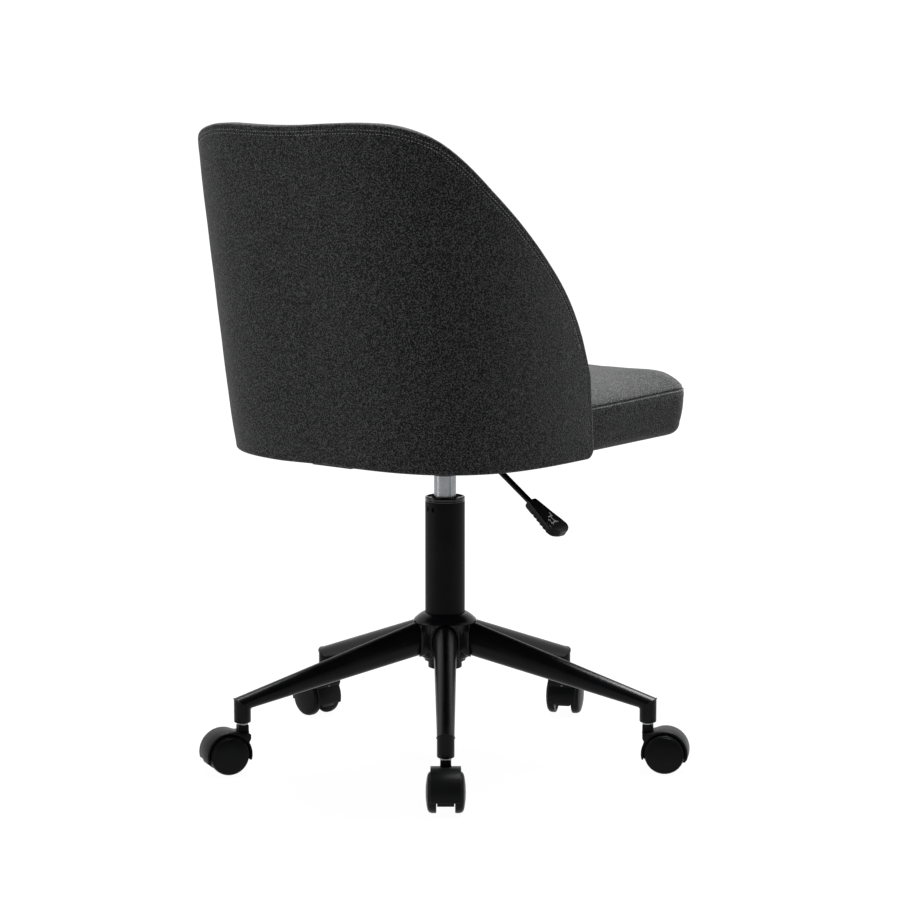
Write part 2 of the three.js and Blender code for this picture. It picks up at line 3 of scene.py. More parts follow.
import bmesh
import bpy
import numpy as np
from mathutils import Matrix, Vector
from mathutils.kdtree import KDTree


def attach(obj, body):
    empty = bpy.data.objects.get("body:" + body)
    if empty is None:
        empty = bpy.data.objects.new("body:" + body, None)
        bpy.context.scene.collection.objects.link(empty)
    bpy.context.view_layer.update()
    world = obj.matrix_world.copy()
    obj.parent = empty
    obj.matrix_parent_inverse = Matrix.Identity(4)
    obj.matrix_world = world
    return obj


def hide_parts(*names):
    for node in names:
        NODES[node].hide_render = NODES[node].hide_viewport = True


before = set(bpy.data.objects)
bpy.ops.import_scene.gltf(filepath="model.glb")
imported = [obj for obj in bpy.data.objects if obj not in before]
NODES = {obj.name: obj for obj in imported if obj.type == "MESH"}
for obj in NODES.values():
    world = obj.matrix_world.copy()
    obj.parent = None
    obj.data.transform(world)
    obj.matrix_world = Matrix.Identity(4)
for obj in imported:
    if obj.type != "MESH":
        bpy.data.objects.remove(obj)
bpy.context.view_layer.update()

MM = 0.001
CX, CY = -3.2712, 12.1097  # column axis in the row frame, millimetres
DEG = math.pi / 180
rng = np.random.default_rng(7)

# ------------------------------------------------------------------ materials


def material(name, base, rough, metal=0.0, spec=0.5, coat=0.0, coat_rough=0.1, sheen=0.0, sheen_rough=0.5):
    m = bpy.data.materials.new(name)
    m.use_nodes = True
    b = m.node_tree.nodes["Principled BSDF"]
    b.inputs["Base Color"].default_value = (*base, 1)
    b.inputs["Roughness"].default_value = rough
    b.inputs["Metallic"].default_value = metal
    b.inputs["Specular IOR Level"].default_value = spec
    b.inputs["Coat Weight"].default_value = coat
    b.inputs["Coat Roughness"].default_value = coat_rough
    b.inputs["Sheen Weight"].default_value = sheen
    b.inputs["Sheen Roughness"].default_value = sheen_rough
    return m, m.node_tree, b


def node(t, kind, **inputs):
    n = t.nodes.new(kind)
    for k, v in inputs.items():
        key = k.replace("_", " ")
        n.inputs[key].default_value = v
    return n


def coords(t, scale=(1, 1, 1)):
    c = t.nodes.new("ShaderNodeTexCoord")
    m = t.nodes.new("ShaderNodeMapping")
    m.inputs["Scale"].default_value = scale
    t.links.new(c.outputs["Object"], m.inputs["Vector"])
    return m.outputs["Vector"]


def noise(t, vec, scale, detail=3.0, rough=0.55, distortion=0.0):
    n = node(t, "ShaderNodeTexNoise", Scale=scale, Detail=detail, Roughness=rough, Distortion=distortion)
    t.links.new(vec, n.inputs["Vector"])
    return n.outputs["Fac"]


def ramp(t, fac, stops):
    r = t.nodes.new("ShaderNodeValToRGB")
    e = r.color_ramp.elements
    while len(e) > 1:
        e.remove(e[0])
    e[0].position, e[0].color = stops[0][0], (*stops[0][1], 1)
    for p, c in stops[1:]:
        x = e.new(p)
        x.color = (*c, 1)
    t.links.new(fac, r.inputs["Fac"])
    return r.outputs["Color"]


def maths(t, op, a, b=None):
    n = t.nodes.new("ShaderNodeMath")
    n.operation = op
    for i, v in enumerate((a, b)):
        if v is None:
            continue
        if isinstance(v, (int, float)):
            n.inputs[i].default_value = v
        else:
            t.links.new(v, n.inputs[i])
    return n.outputs["Value"]


def bump(t, height, strength, distance, normal=None):
    b = node(t, "ShaderNodeBump", Strength=strength, Distance=distance)
    t.links.new(height, b.inputs["Height"])
    if normal is not None:
        t.links.new(normal, b.inputs["Normal"])
    return b.outputs["Normal"]


def fabric(name, dark, mid, light, weave=1.0, sheen=0.12):
    """Heathered plain weave: crossed yarns, flecks of lighter yarn and a soft nap."""
    m, t, b = material(name, mid, 0.92, spec=0.15, sheen=sheen, sheen_rough=0.45)
    v = coords(t)
    uv = t.nodes.new("ShaderNodeUVMap").outputs["UV"]
    grain = noise(t, v, 620, 0.0, 0.5)
    fleck = noise(t, v, 1050, 0.0, 0.5)
    cloud = noise(t, v, 190, 2.0, 0.5)
    warp = node(t, "ShaderNodeTexWave", Scale=175.0, Distortion=1.6, Detail=1.0)
    warp.inputs["Detail Scale"].default_value = 3.0
    warp.bands_direction = "X"
    weft = node(t, "ShaderNodeTexWave", Scale=175.0, Distortion=1.6, Detail=1.0)
    weft.inputs["Detail Scale"].default_value = 3.0
    weft.bands_direction = "Y"
    for w in (warp, weft):
        t.links.new(uv, w.inputs["Vector"])
    yarn = maths(t, "MULTIPLY", warp.outputs["Fac"], weft.outputs["Fac"])
    mix = maths(t, "ADD", maths(t, "MULTIPLY", grain, 0.62), maths(t, "MULTIPLY", fleck, 0.38))
    mix = maths(t, "ADD", mix, maths(t, "MULTIPLY", maths(t, "SUBTRACT", cloud, 0.5), 0.06))
    mix = maths(t, "ADD", mix, maths(t, "MULTIPLY", maths(t, "SUBTRACT", yarn, 0.25), 0.06 * weave))
    col = ramp(t, mix, [(0.42, dark), (0.5, mid), (0.6, light)])
    t.links.new(col, b.inputs["Base Color"])
    height = maths(t, "ADD", maths(t, "MULTIPLY", mix, 1.0), maths(t, "MULTIPLY", yarn, 0.25 * weave))
    t.links.new(bump(t, height, 0.5, 0.0009), b.inputs["Normal"])
    return m


def painted(name, base, rough, spec=0.3, peel=0.00006, coat=0.0, mottling=0.12):
    """Powder coat: orange peel, slight change of gloss and broad, slightly lighter and darker patches."""
    m, t, b = material(name, base, rough, spec=spec, coat=coat, coat_rough=0.25)
    v = coords(t)
    broad = noise(t, v, 22, 3.0, 0.5)
    fine = noise(t, v, 900, 2.0, 0.5)
    c0 = tuple(x * 0.8 for x in base)
    c1 = tuple(min(1, x * 1.35 + 0.001) for x in base)
    t.links.new(ramp(t, broad, [(0.3, c0), (0.7, c1)]), b.inputs["Base Color"])
    r = maths(t, "ADD", maths(t, "MULTIPLY", broad, mottling), rough - mottling / 2)
    r = maths(t, "ADD", r, maths(t, "MULTIPLY", fine, 0.06))
    t.links.new(r, b.inputs["Roughness"])
    t.links.new(bump(t, fine, 0.5, peel * 4), b.inputs["Normal"])
    return m


def moulded(name, base, rough, spec=0.3, grain=700, depth=0.00012):
    """Moulded nylon: fine spark-eroded grain and faint flow marks."""
    m, t, b = material(name, base, rough, spec=spec)
    v = coords(t)
    fine = noise(t, v, grain, 3.0, 0.6)
    flow = noise(t, coords(t, (18, 18, 40)), 1.0, 2.0, 0.5)
    c0 = tuple(x * 0.85 for x in base)
    c1 = tuple(x * 1.25 + 0.001 for x in base)
    t.links.new(ramp(t, flow, [(0.3, c0), (0.7, c1)]), b.inputs["Base Color"])
    t.links.new(maths(t, "ADD", maths(t, "MULTIPLY", fine, 0.16), rough - 0.08), b.inputs["Roughness"])
    t.links.new(bump(t, fine, 0.45, depth), b.inputs["Normal"])
    return m


def steel(name, base, rough, streak=(30, 30, 900)):
    """Drawn steel: fine marks round the axis and cloudy zinc."""
    m, t, b = material(name, base, rough, metal=1.0)
    marks = noise(t, coords(t, streak), 1.0, 4.0, 0.65)
    cloud = noise(t, coords(t), 90, 3.0, 0.5)
    c0 = tuple(x * 0.86 for x in base)
    c1 = tuple(min(1, x * 1.08) for x in base)
    t.links.new(ramp(t, cloud, [(0.3, c0), (0.7, c1)]), b.inputs["Base Color"])
    r = maths(t, "ADD", maths(t, "MULTIPLY", marks, 0.22), rough - 0.11)
    t.links.new(maths(t, "ADD", r, maths(t, "MULTIPLY", cloud, 0.06)), b.inputs["Roughness"])
    t.links.new(bump(t, marks, 0.25, 0.00008), b.inputs["Normal"])
    return m


def wood(name):
    m, t, b = material(name, (0.5, 0.36, 0.2), 0.7, spec=0.3)
    g = noise(t, coords(t, (6, 60, 400)), 1.0, 5.0, 0.6, 0.4)
    t.links.new(ramp(t, g, [(0.3, (0.36, 0.24, 0.12)), (0.7, (0.62, 0.47, 0.29))]), b.inputs["Base Color"])
    t.links.new(bump(t, g, 0.3, 0.0003), b.inputs["Normal"])
    return m


MAT = {
    "fabric": fabric("charcoal_weave", (0.0018, 0.0019, 0.0021), (0.0094, 0.0096, 0.0101), (0.048, 0.0485, 0.05)),
    "thread": fabric("stitch_thread", (0.1, 0.1, 0.102), (0.16, 0.161, 0.165), (0.24, 0.24, 0.245), 0.0, 0.1),
    "dust": fabric("dust_cloth", (0.003, 0.003, 0.003), (0.006, 0.006, 0.006), (0.012, 0.012, 0.0125), 0.6, 0.05),
    "leg": painted("leg_powder_coat", (0.0022, 0.0023, 0.0028), 0.27, spec=0.1),
    "hub": painted("hub_powder_coat", (0.0028, 0.003, 0.0038), 0.2, spec=0.13),
    "tube": painted("tube_powder_coat", (0.0028, 0.0028, 0.003), 0.45, spec=0.06),
    "bush": moulded("bush_acetal", (0.003, 0.003, 0.0034), 0.2, spec=0.3, grain=300, depth=0.00003),
    "nylon": moulded("caster_nylon", (0.0055, 0.0057, 0.0062), 0.4, spec=0.06),
    "wheel": moulded("wheel_nylon", (0.005, 0.0052, 0.0058), 0.34, spec=0.05, grain=900),
    "grip": moulded("grip_polymer", (0.004, 0.004, 0.0043), 0.3, spec=0.09, grain=800, depth=0.00008),
    "zinc": steel("zinc_plated_steel", (0.24, 0.25, 0.26), 0.26),
    "chrome": steel("ground_chrome", (0.7, 0.71, 0.73), 0.12),
    "bolt": steel("bolt_steel", (0.25, 0.25, 0.26), 0.35, (300, 300, 300)),
    "wood": wood("ply_layers"),
    "mark": moulded("printed_mark", (0.5, 0.5, 0.51), 0.5, grain=1200, depth=0.00002),
}

# ------------------------------------------------------------------ mesh tools


def build(name, verts, faces, mat, body, slot=None, replaces=(), angle=35, uv=None, column=True, matrix=None, flip=None):
    """A mesh object from millimetre points in the column's frame."""
    V = np.asarray(verts, float).copy()
    if matrix is not None:
        V = V @ np.array(matrix)[:3, :3].T + np.array(matrix)[:3, 3]
    if column:
        V = V + [CX, CY, 0]
    me = bpy.data.meshes.new(name)
    me.from_pydata((V * MM).tolist(), [], [tuple(int(i) for i in f) for f in faces])
    if uv is not None:
        lay = me.uv_layers.new(name="UVMap")
        idx = np.zeros(len(me.loops), int)
        me.loops.foreach_get("vertex_index", idx)
        lay.data.foreach_set("uv", np.asarray(uv, np.float32)[idx].ravel())
    bm = bmesh.new()
    bm.from_mesh(me)
    bmesh.ops.remove_doubles(bm, verts=bm.verts, dist=1e-6)
    bmesh.ops.dissolve_degenerate(bm, edges=bm.edges, dist=1e-7)
    bmesh.ops.recalc_face_normals(bm, faces=bm.faces)
    bm.to_mesh(me)
    bm.free()
    me.shade_smooth()
    me.set_sharp_from_angle(angle=angle * DEG)
    me.materials.append(MAT[mat])
    o = bpy.data.objects.new(name, me)
    bpy.context.scene.collection.objects.link(o)
    return place(o, body, slot, replaces)


def place(o, body, slot=None, replaces=()):
    if body:
        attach(o, body)
    if replaces:
        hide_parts(*replaces)
    return o


def ringfaces(nr, n, closed=False):
    """Quads through nr rings of n points each."""
    F = []
    for i in range(nr - 1 + (1 if closed else 0)):
        a, b = i * n, ((i + 1) % nr) * n
        for j in range(n):
            k = (j + 1) % n
            F.append((a + j, a + k, b + k, b + j))
    return F


def loft(rings, cap=True):
    n = len(rings[0])
    V = np.concatenate([np.asarray(r, float) for r in rings])
    F = ringfaces(len(rings), n)
    if cap:
        F.append(tuple(range(n))[::-1])
        F.append(tuple((len(rings) - 1) * n + j for j in range(n)))
    return V, F


def lathe(profile, n=72, closed=True):
    """Solid of revolution about Z from a closed profile of (radius, z)."""
    P = np.asarray(profile, float)
    a = np.arange(n) * 2 * math.pi / n
    V = np.concatenate([np.c_[r * np.cos(a), r * np.sin(a), np.full(n, z)] for r, z in P])
    return V, ringfaces(len(P), n, closed)


def rounded(profile, r, steps=4):
    """Closed profile with each corner rounded. r is one radius, or one for each corner."""
    P = [np.array(p, float) for p in profile]
    R = r if isinstance(r, (list, tuple)) else [r] * len(P)
    out = []
    for i, p in enumerate(P):
        a, b = P[i - 1], P[(i + 1) % len(P)]
        da, db = a - p, b - p
        la, lb = np.linalg.norm(da), np.linalg.norm(db)
        if R[i] <= 0 or la < 1e-6 or lb < 1e-6 or (p[0] < 1e-6):
            out.append(p)
            continue
        da, db = da / la, db / lb
        cosang = max(-1, min(1, da @ db))
        half = math.acos(cosang) / 2
        if half > 1.45:
            out.append(p)
            continue
        d = min(R[i] / math.tan(half), la * 0.45, lb * 0.45)
        p0, p1 = p + da * d, p + db * d
        for k in range(steps + 1):
            s = k / steps
            out.append((1 - s) ** 2 * p0 + 2 * s * (1 - s) * p + s * s * p1)
    return out


def tube(path, r, n=16, cap=True, up=(0, 0, 1)):
    """Round bar along points. r is a number or one for each point."""
    P = np.asarray(path, float)
    T = np.gradient(P, axis=0)
    T /= np.linalg.norm(T, axis=1)[:, None]
    R = np.full(len(P), r) if np.isscalar(r) else np.asarray(r, float)
    N = np.cross(T[0], up)
    if np.linalg.norm(N) < 1e-3:
        N = np.cross(T[0], (1, 0, 0))
    N /= np.linalg.norm(N)
    rings = []
    for p, t, rr in zip(P, T, R):
        N = N - t * (N @ t)
        N /= np.linalg.norm(N)
        B = np.cross(t, N)
        a = np.arange(n) * 2 * math.pi / n
        rings.append(p + rr * (np.cos(a)[:, None] * N + np.sin(a)[:, None] * B))
    return loft(rings, cap)


def smooth_path(P, n=80, passes=0):
    """Catmull-Rom curve through the points."""
    P = np.asarray(P, float)
    Q = np.r_[[2 * P[0] - P[1]], P, [2 * P[-1] - P[-2]]]
    out = []
    m = max(2, n // (len(P) - 1))
    for i in range(1, len(Q) - 2):
        a, b, c, d = Q[i - 1 : i + 3]
        for s in np.linspace(0, 1, m, endpoint=False):
            out.append(0.5 * (2 * b + (c - a) * s + (2 * a - 5 * b + 4 * c - d) * s**2 + (3 * b - a - 3 * c + d) * s**3))
    out.append(P[-1])
    return np.array(out)


def merged(*parts):
    V, F, k = [], [], 0
    for v, f in parts:
        V.append(np.asarray(v, float))
        F += [tuple(i + k for i in x) for x in f]
        k += len(v)
    return np.concatenate(V), F


def moved(part, m):
    v, f = part
    m = np.array(m)
    return v @ m[:3, :3].T + m[:3, 3], f


def rotz(deg, x=0, y=0, z=0):
    c, s = math.cos(deg * DEG), math.sin(deg * DEG)
    return np.array([[c, -s, 0, x], [s, c, 0, y], [0, 0, 1, z], [0, 0, 0, 1.0]])


def raw(name, part):
    me = bpy.data.meshes.new(name)
    me.from_pydata((np.asarray(part[0]) * MM).tolist(), [], part[1])
    bm = bmesh.new()
    bm.from_mesh(me)
    bmesh.ops.remove_doubles(bm, verts=bm.verts, dist=1e-6)
    bmesh.ops.recalc_face_normals(bm, faces=bm.faces)
    bm.to_mesh(me)
    bm.free()
    o = bpy.data.objects.new(name, me)
    bpy.context.scene.collection.objects.link(o)
    return o


def boolean(base, others, op="DIFFERENCE"):
    """Mesh data of base joined with, or cut by, others. Returns (points in mm, faces)."""
    a = raw("bool_a", base)
    tools = [raw(f"bool_{i}", x) for i, x in enumerate(others)]
    for x in tools:
        mod = a.modifiers.new("b", "BOOLEAN")
        mod.operation, mod.solver, mod.object = op, "EXACT", x
    dg = bpy.context.evaluated_depsgraph_get()
    me = bpy.data.meshes.new_from_object(a.evaluated_get(dg))
    V = np.array([v.co for v in me.vertices], float) / MM
    F = [tuple(p.vertices) for p in me.polygons]
    for x in [a, *tools]:
        bpy.data.objects.remove(x)
    return V, F


def node_piece(name, mat, bevel=0.0, segments=2):
    """A CAD node kept as it is, with a finish and, where it is given, rolled edges."""
    o = NODES[name]
    o.data.materials.clear()
    o.data.materials.append(MAT[mat])
    for p in o.data.polygons:
        p.material_index = 0
    if bevel:
        b = o.modifiers.new("edge", "BEVEL")
        b.width, b.segments, b.limit_method, b.angle_limit = bevel * MM, segments, "ANGLE", 35 * DEG
        b.harden_normals = False
    return o


# ------------------------------------------------------------------ base

LEG_A = [128.16 + 72 * k for k in range(5)]
CASTER_R = 265.6
CASTER_A = [128, 209.95, 295.9, 348, 59]
leg_top = lambda r: 174.5 - 0.3456 * (r - 39)
leg_bottom = lambda r: 132.5 - 0.237 * (r - 31.8)
ROOT_R = 27.8
NS = 56


def leg_ring(r, grow=0.0, n=NS):
    t = (r - ROOT_R) / (CASTER_R - ROOT_R)
    w = 14.9 + (10.6 - 14.9) * t + grow
    h = (leg_top(r) - leg_bottom(r)) / 2 + grow
    c = (leg_top(r) + leg_bottom(r)) / 2
    a = np.arange(n) * 2 * math.pi / n
    return np.c_[np.full(n, r), w * np.cos(a), c + h * np.sin(a)]


def mitre(drop=0.0, grow=0.0, n=NS):
    a = np.arange(n) * 2 * math.pi / n
    return np.c_[CASTER_R + (10.6 + grow) * np.sin(a), (10.6 + grow) * np.cos(a), 86.1 + 6.5 * np.sin(a) - drop]


def socket_ring(r, z, n=NS):
    a = np.arange(n) * 2 * math.pi / n
    return np.c_[CASTER_R + r * np.sin(a), r * np.cos(a), np.full(n, z)]


for k, a in enumerate(LEG_A):
    M = rotz(a)
    rings = [leg_ring(r) for r in (ROOT_R, 45, 90, 140, 190, 235, 252)] + [mitre(0)]
    build(f"leg_tube_{k+1}", *loft(rings), "leg", "base", "black_powder_coat", [f"leg_{k+1}"], 40, matrix=M)
    sock = [mitre(0.15), socket_ring(10.6, 74), socket_ring(10.6, 63.6), socket_ring(10.3, 62.8), socket_ring(9.7, 62.4), socket_ring(7.0, 62.4), socket_ring(6.6, 62.8), socket_ring(6.6, 79.6)]
    build(f"leg_socket_{k+1}", *loft(sock), "leg", "base", "black_powder_coat", [f"caster_socket_{k+1}"], 40, matrix=M)
    # weld bead round the mitre, rippled
    aa = np.linspace(0, 2 * math.pi, 161)
    rr = 10.75
    path = np.c_[CASTER_R + rr * np.sin(aa), rr * np.cos(aa), 86.0 + 6.55 * np.sin(aa)]
    bead = 0.62 + 0.12 * np.sin(aa * 37)
    build(f"weld_bead_{k+1}", *tube(path, bead, 8, cap=True), "leg", "base", "black_powder_coat", (), 60, matrix=M)

HUB = [
    (25.5, 186.0), (26.6, 185.9), (30.5, 184.0), (34.6, 181.0), (38.2, 177.7), (39.5, 176.2), (39.95, 175.2), (39.9, 174.3),
    (39.3, 172.9), (38.0, 169.8), (36.3, 165.2), (34.6, 160.4), (33.3, 155.6), (32.5, 150.0), (32.2, 144.0),
    (32.2, 134.0), (32.1, 131.2), (31.6, 129.9), (30.6, 129.3), (28.2, 129.0), (26.8, 128.8), (26.3, 128.2), (26.3, 127.0),
    (26.3, 125.0), (26.0, 124.3), (25.3, 124.0), (21.9, 124.0), (25.35, 150.0),
]
def boss(r, gw, gh, n=NS):
    t = (r - ROOT_R) / (CASTER_R - ROOT_R)
    w, h = 14.9 - 4.3 * t + gw, (leg_top(r) - leg_bottom(r)) / 2 + gh
    a = np.arange(n) * 2 * math.pi / n
    ex = 2 / 3.8
    return np.c_[np.full(n, r), w * np.sign(np.cos(a)) * np.abs(np.cos(a)) ** ex, (leg_top(r) + leg_bottom(r)) / 2 + h * np.sign(np.sin(a)) * np.abs(np.sin(a)) ** ex]


# the drum swells into a short arched collar round each leg
bosses = [moved(loft([boss(20, 6.0, 0.5), boss(34.5, 4.6, 0.5), boss(36.4, 4.1, 0.2), boss(37.2, 3.3, -0.6)]), rotz(a)) for a in LEG_A]
pockets = [moved(loft([leg_ring(ROOT_R - 1.5, 2.0), leg_ring(58, 2.0)]), rotz(a)) for a in LEG_A]
solid_v, solid_f = boolean(lathe(HUB, 144), bosses, "UNION")
hub_v, hub_f = boolean((solid_v, solid_f), pockets)
build("hub_casting", hub_v, hub_f, "hub", "base", "black_powder_coat", ["base_hub"], 32)
for k, a in enumerate(LEG_A):  # fillet weld where each leg enters its pocket
    ring = leg_ring(31.5, 0.4, 96)
    build(f"root_weld_{k+1}", *tube(np.r_[ring, ring[:1]], 0.9, 8), "hub", "base", "black_powder_coat", (), 60, matrix=rotz(a))

# column tube with two pressed dimples
TUBE = rounded(
    [(25, 327.5), (25, 150), (21.35, 124), (21.25, 115), (19.2, 115), (19.2, 119), (5.6, 119), (5.6, 122), (19.2, 122), (23, 150), (23, 327.5)],
    [0.3, 6, 2, 0.6, 0.4, 0.3, 0.2, 0.2, 0.3, 4, 0.3], 4)


def dimple(deg):
    aa = np.arange(28) * 2 * math.pi / 28
    ring = lambda x, g: np.c_[np.full(28, x), (1.9 + g) * np.cos(aa), 319.3 + (3.5 + g) * np.sin(aa)]
    rings = [ring(22.0, -0.9), ring(24.2, -0.5), ring(24.75, 0.0), ring(25.3, 0.45), ring(26.5, 0.8)]
    return moved(loft(rings), rotz(deg))


tv, tf = boolean(lathe(TUBE, 144), [dimple(67.7), dimple(90)])
build("column_tube", tv, tf, "tube", "base", "black_powder_coat", ["stand_tube"], 30)
BUSH = rounded(
    [(14.45, 262), (22.5, 262), (22.5, 327.9), (25.1, 327.9), (25.1, 329.3), (24.6, 329.9), (25.1, 330.5), (25.1, 333.4), (23.2, 333.7), (20.6, 332.0), (17.8, 332.0), (15.6, 330.6), (14.45, 329.4)],
    [0.3, 0.3, 0.1, 0.25, 0.3, 0.3, 0.3, 1.1, 0.8, 0.8, 0.7, 0.5, 0.3], 4)
build("column_bush", *lathe(BUSH, 128), "bush", "base", "black_acetal", ["guide_bush"], 40)

# ------------------------------------------------------------------ gas lift

CYL = rounded(
    [(5.6, 135), (14, 135), (14, 361), (13.2, 386), (4.6, 386), (4.6, 370), (0, 370), (0, 358), (12.4, 358), (12.4, 143), (5.6, 143)],
    [0.4, 1.2, 0, 0.8, 0.4, 0, 0, 0, 0.4, 0.4, 0.3], 4)
build("lift_cylinder", *lathe(CYL, 96), "zinc", "seat_assembly", "zinc_steel", ["gas_cylinder"], 40)
SLEEVE = rounded(
    [(14.45, 361.0), (15.7, 361.0), (16, 361.5), (16, 372.9), (21, 372.9), (21, 375.4), (16, 375.4), (16, 386.4), (13.75, 386.4)],
    [0.2, 0.4, 0.4, 0.5, 0.4, 0.4, 0.5, 0.5, 0.3], 3)
build("taper_collar", *lathe(SLEEVE, 96), "tube", "seat_assembly", "black_powder_coat", ["taper_sleeve"], 40)
for n_, m_ in (("piston_rod", "chrome"), ("thrust_bearing_cage", "bolt"), ("thrust_bearing_race", "zinc"), ("rod_clip", "bolt"), ("release_button", "zinc"), ("lever_pin", "zinc")):
    node_piece(n_, m_, 0.25)
node_piece("seat_plate", "tube", 0.7, 2)
node_piece("back_bracket", "tube", 0.6, 2)
for k in range(1, 5):
    node_piece(f"seat_bolt_{k}", "bolt", 0.35, 2)
node_piece("seat_board", "wood", 0.5, 1)
node_piece("back_core", "wood", 0.5, 1)
node_piece("seat_dust_cover", "dust")

# ------------------------------------------------------------------ casters

AXLE_Z = 25.4 * math.cos(math.pi / 20)
RW = AXLE_Z - 0.02
TR = 22.0


def arc(r, a0, a1, n, cx=TR, cz=AXLE_Z):
    t = np.linspace(a0, a1, n) * DEG
    return np.c_[cx + r * np.cos(t), cz + r * np.sin(t)]


def plate(outline, y0, y1, bevel=0.0):
    """Outline in X and Z drawn out along Y, its rims rounded by insetting."""
    P = np.asarray(outline, float)
    if bevel:
        T = np.roll(P, -1, 0) - np.roll(P, 1, 0)
        T /= np.linalg.norm(T, axis=1)[:, None]
        area = 0.5 * np.sum(P[:, 0] * np.roll(P[:, 1], -1) - np.roll(P[:, 0], -1) * P[:, 1])
        N = np.c_[T[:, 1], -T[:, 0]] * (1 if area > 0 else -1)
        steps = [(0.0, bevel), (0.3 * bevel, 0.3 * bevel), (bevel, 0.0)]
        rings = [(y0 + dy, ins) for dy, ins in steps] + [(y1 - dy, ins) for dy, ins in steps[::-1]]
        return loft([np.c_[P[:, 0] - N[:, 0] * i, np.full(len(P), y), P[:, 1] - N[:, 1] * i] for y, i in rings])
    return loft([np.c_[P[:, 0], np.full(len(P), y), P[:, 1]] for y in (y0, y1)])


hood_out = np.r_[arc(29.2, -13, 192, 64), arc(28.7, 195, 195, 1), arc(27.6, 196, 196, 1), arc(26.9, 195, 195, 1), arc(26.8, 192, -12, 64), arc(27.4, -14, -14, 1), arc(28.7, -14.5, -14.5, 1)]
hood = plate(hood_out, -18.4, 18.4, 0.5)
platform = plate([(-5.5, 44.4), (-3.2, 39.9), (2, 45.6), (9, 50.2), (10.5, 51.8), (6, 50.5), (-5.0, 50.2), (-5.5, 49.7)], -18.35, 18.35, 0.35)
sq = lambda h, z, c=1.4: np.array([(h, h - c, z), (h - c, h, z), (-h + c, h, z), (-h, h - c, z), (-h, -h + c, z), (-h + c, -h, z), (h - c, -h, z), (h, -h + c, z)])
neck = loft([sq(6.6, 44.6), sq(6.9, 50.3), sq(6.65, 52.0), sq(6.6, 58.6), sq(6.2, 59.2), sq(5.6, 59.4)])
web_floor = math.asin((13.7 - AXLE_Z) / 28.2) / DEG
web = plate(np.r_[arc(28.2, web_floor, 189, 56), [[TR - 23.5, 14.2], [TR - 23, 13.7]]], -10.2, 10.2, 0.4)
body_v, body_f = boolean(hood, [platform, neck, web], "UNION")
STEM = rounded([(0, 41.2), (4.3, 41.2), (4.3, 59.5), (7.2, 59.5), (7.2, 61.9), (5.5, 61.9), (5.5, 69), (6.1, 71), (5.5, 75), (5, 79.3), (0, 79.3)], [0, 0.3, 0, 0.6, 0.6, 0.3, 0.3, 0.6, 0.4, 0.8, 0], 3)
WHEEL = rounded(
    [(3.5, 11.2), (7.5, 11.2), (8.2, 12.6), (20.4, 12.6), (21.2, 11.2), (RW - 0.9, 11.2), (RW, 12.0), (RW, 16.6), (24.2, 19.3), (22.7, 20.9), (22.35, 20.5), (21.9, 21.4), (17.0, 22.7), (8, 23.8), (0, 24.0), (0, 19.4), (3.5, 19.4)],
    [0.2, 0.3, 0.3, 0.3, 0.3, 0.6, 0.7, 2.4, 1.4, 0.4, 0.15, 0.4, 3, 3, 0, 0, 0.2], 5)
AXLE = rounded([(0, -19), (3, -19), (3, 19), (0, 19)], [0, 0.6, 0.6, 0], 3)
RX = lambda s: np.array([[1, 0, 0, TR], [0, 0, s, 0], [0, -s, 0, AXLE_Z], [0, 0, 0, 1.0]])
for k in range(5):
    n = k + 1
    a = LEG_A[k] * DEG
    M = rotz(CASTER_A[k], CASTER_R * math.cos(a), CASTER_R * math.sin(a))
    b = f"caster_{n}"
    build(f"caster_hood_{n}", body_v, body_f, "nylon", b, "dark_nylon", [f"caster_body_{n}"], 30, matrix=M)
    build(f"caster_pin_{n}", *lathe(STEM, 40), "zinc", b, "zinc_steel", [f"caster_stem_{n}"], 40, matrix=M)
    build(f"caster_spindle_{n}", *lathe(AXLE, 32), "zinc", b, "zinc_steel", [f"caster_axle_{n}"], 40, matrix=M @ RX(1))
    for s, side in (("a", 1), ("b", -1)):
        build(f"wheel_{n}{s}", *lathe(WHEEL, 96), "wheel", f"wheel_{n}{s}", "dark_nylon", [f"caster_wheel_{n}{s}"], 30, matrix=M @ RX(side))

# ------------------------------------------------------------------ lever

LEVER = np.array([(2, 396.2), (-9, 396.2), (-16, 395.6), (-23, 391.4), (-30, 388.6), (-38, 388), (-60, 388), (-66, 387), (-72, 383.9), (-89, 372.4), (-138.2, 337.0)])
lp = smooth_path(np.c_[LEVER[:, 0], np.zeros(len(LEVER)), LEVER[:, 1]], 160)
eye = moved(lathe(rounded([(2.7, -6.3), (6.2, -6.3), (6.2, 6.3), (2.7, 6.3)], [0.2, 0.8, 0.8, 0.2], 3), 48), np.array([[1, 0, 0, -30], [0, 0, 1, 0], [0, -1, 0, 388], [0, 0, 0, 1.0]]))
build("lever_bar", *merged(tube(lp, 3.75, 28), eye), "leg", "lever", "black_powder_coat", ["lever_rod"], 40)

GA = 34.5 * DEG
G0 = (-133.3, 340.6)


def grip_point(u, y, nn):
    return (G0[0] - u * math.cos(GA) - nn * math.sin(GA), y, G0[1] - u * math.sin(GA) + nn * math.cos(GA))


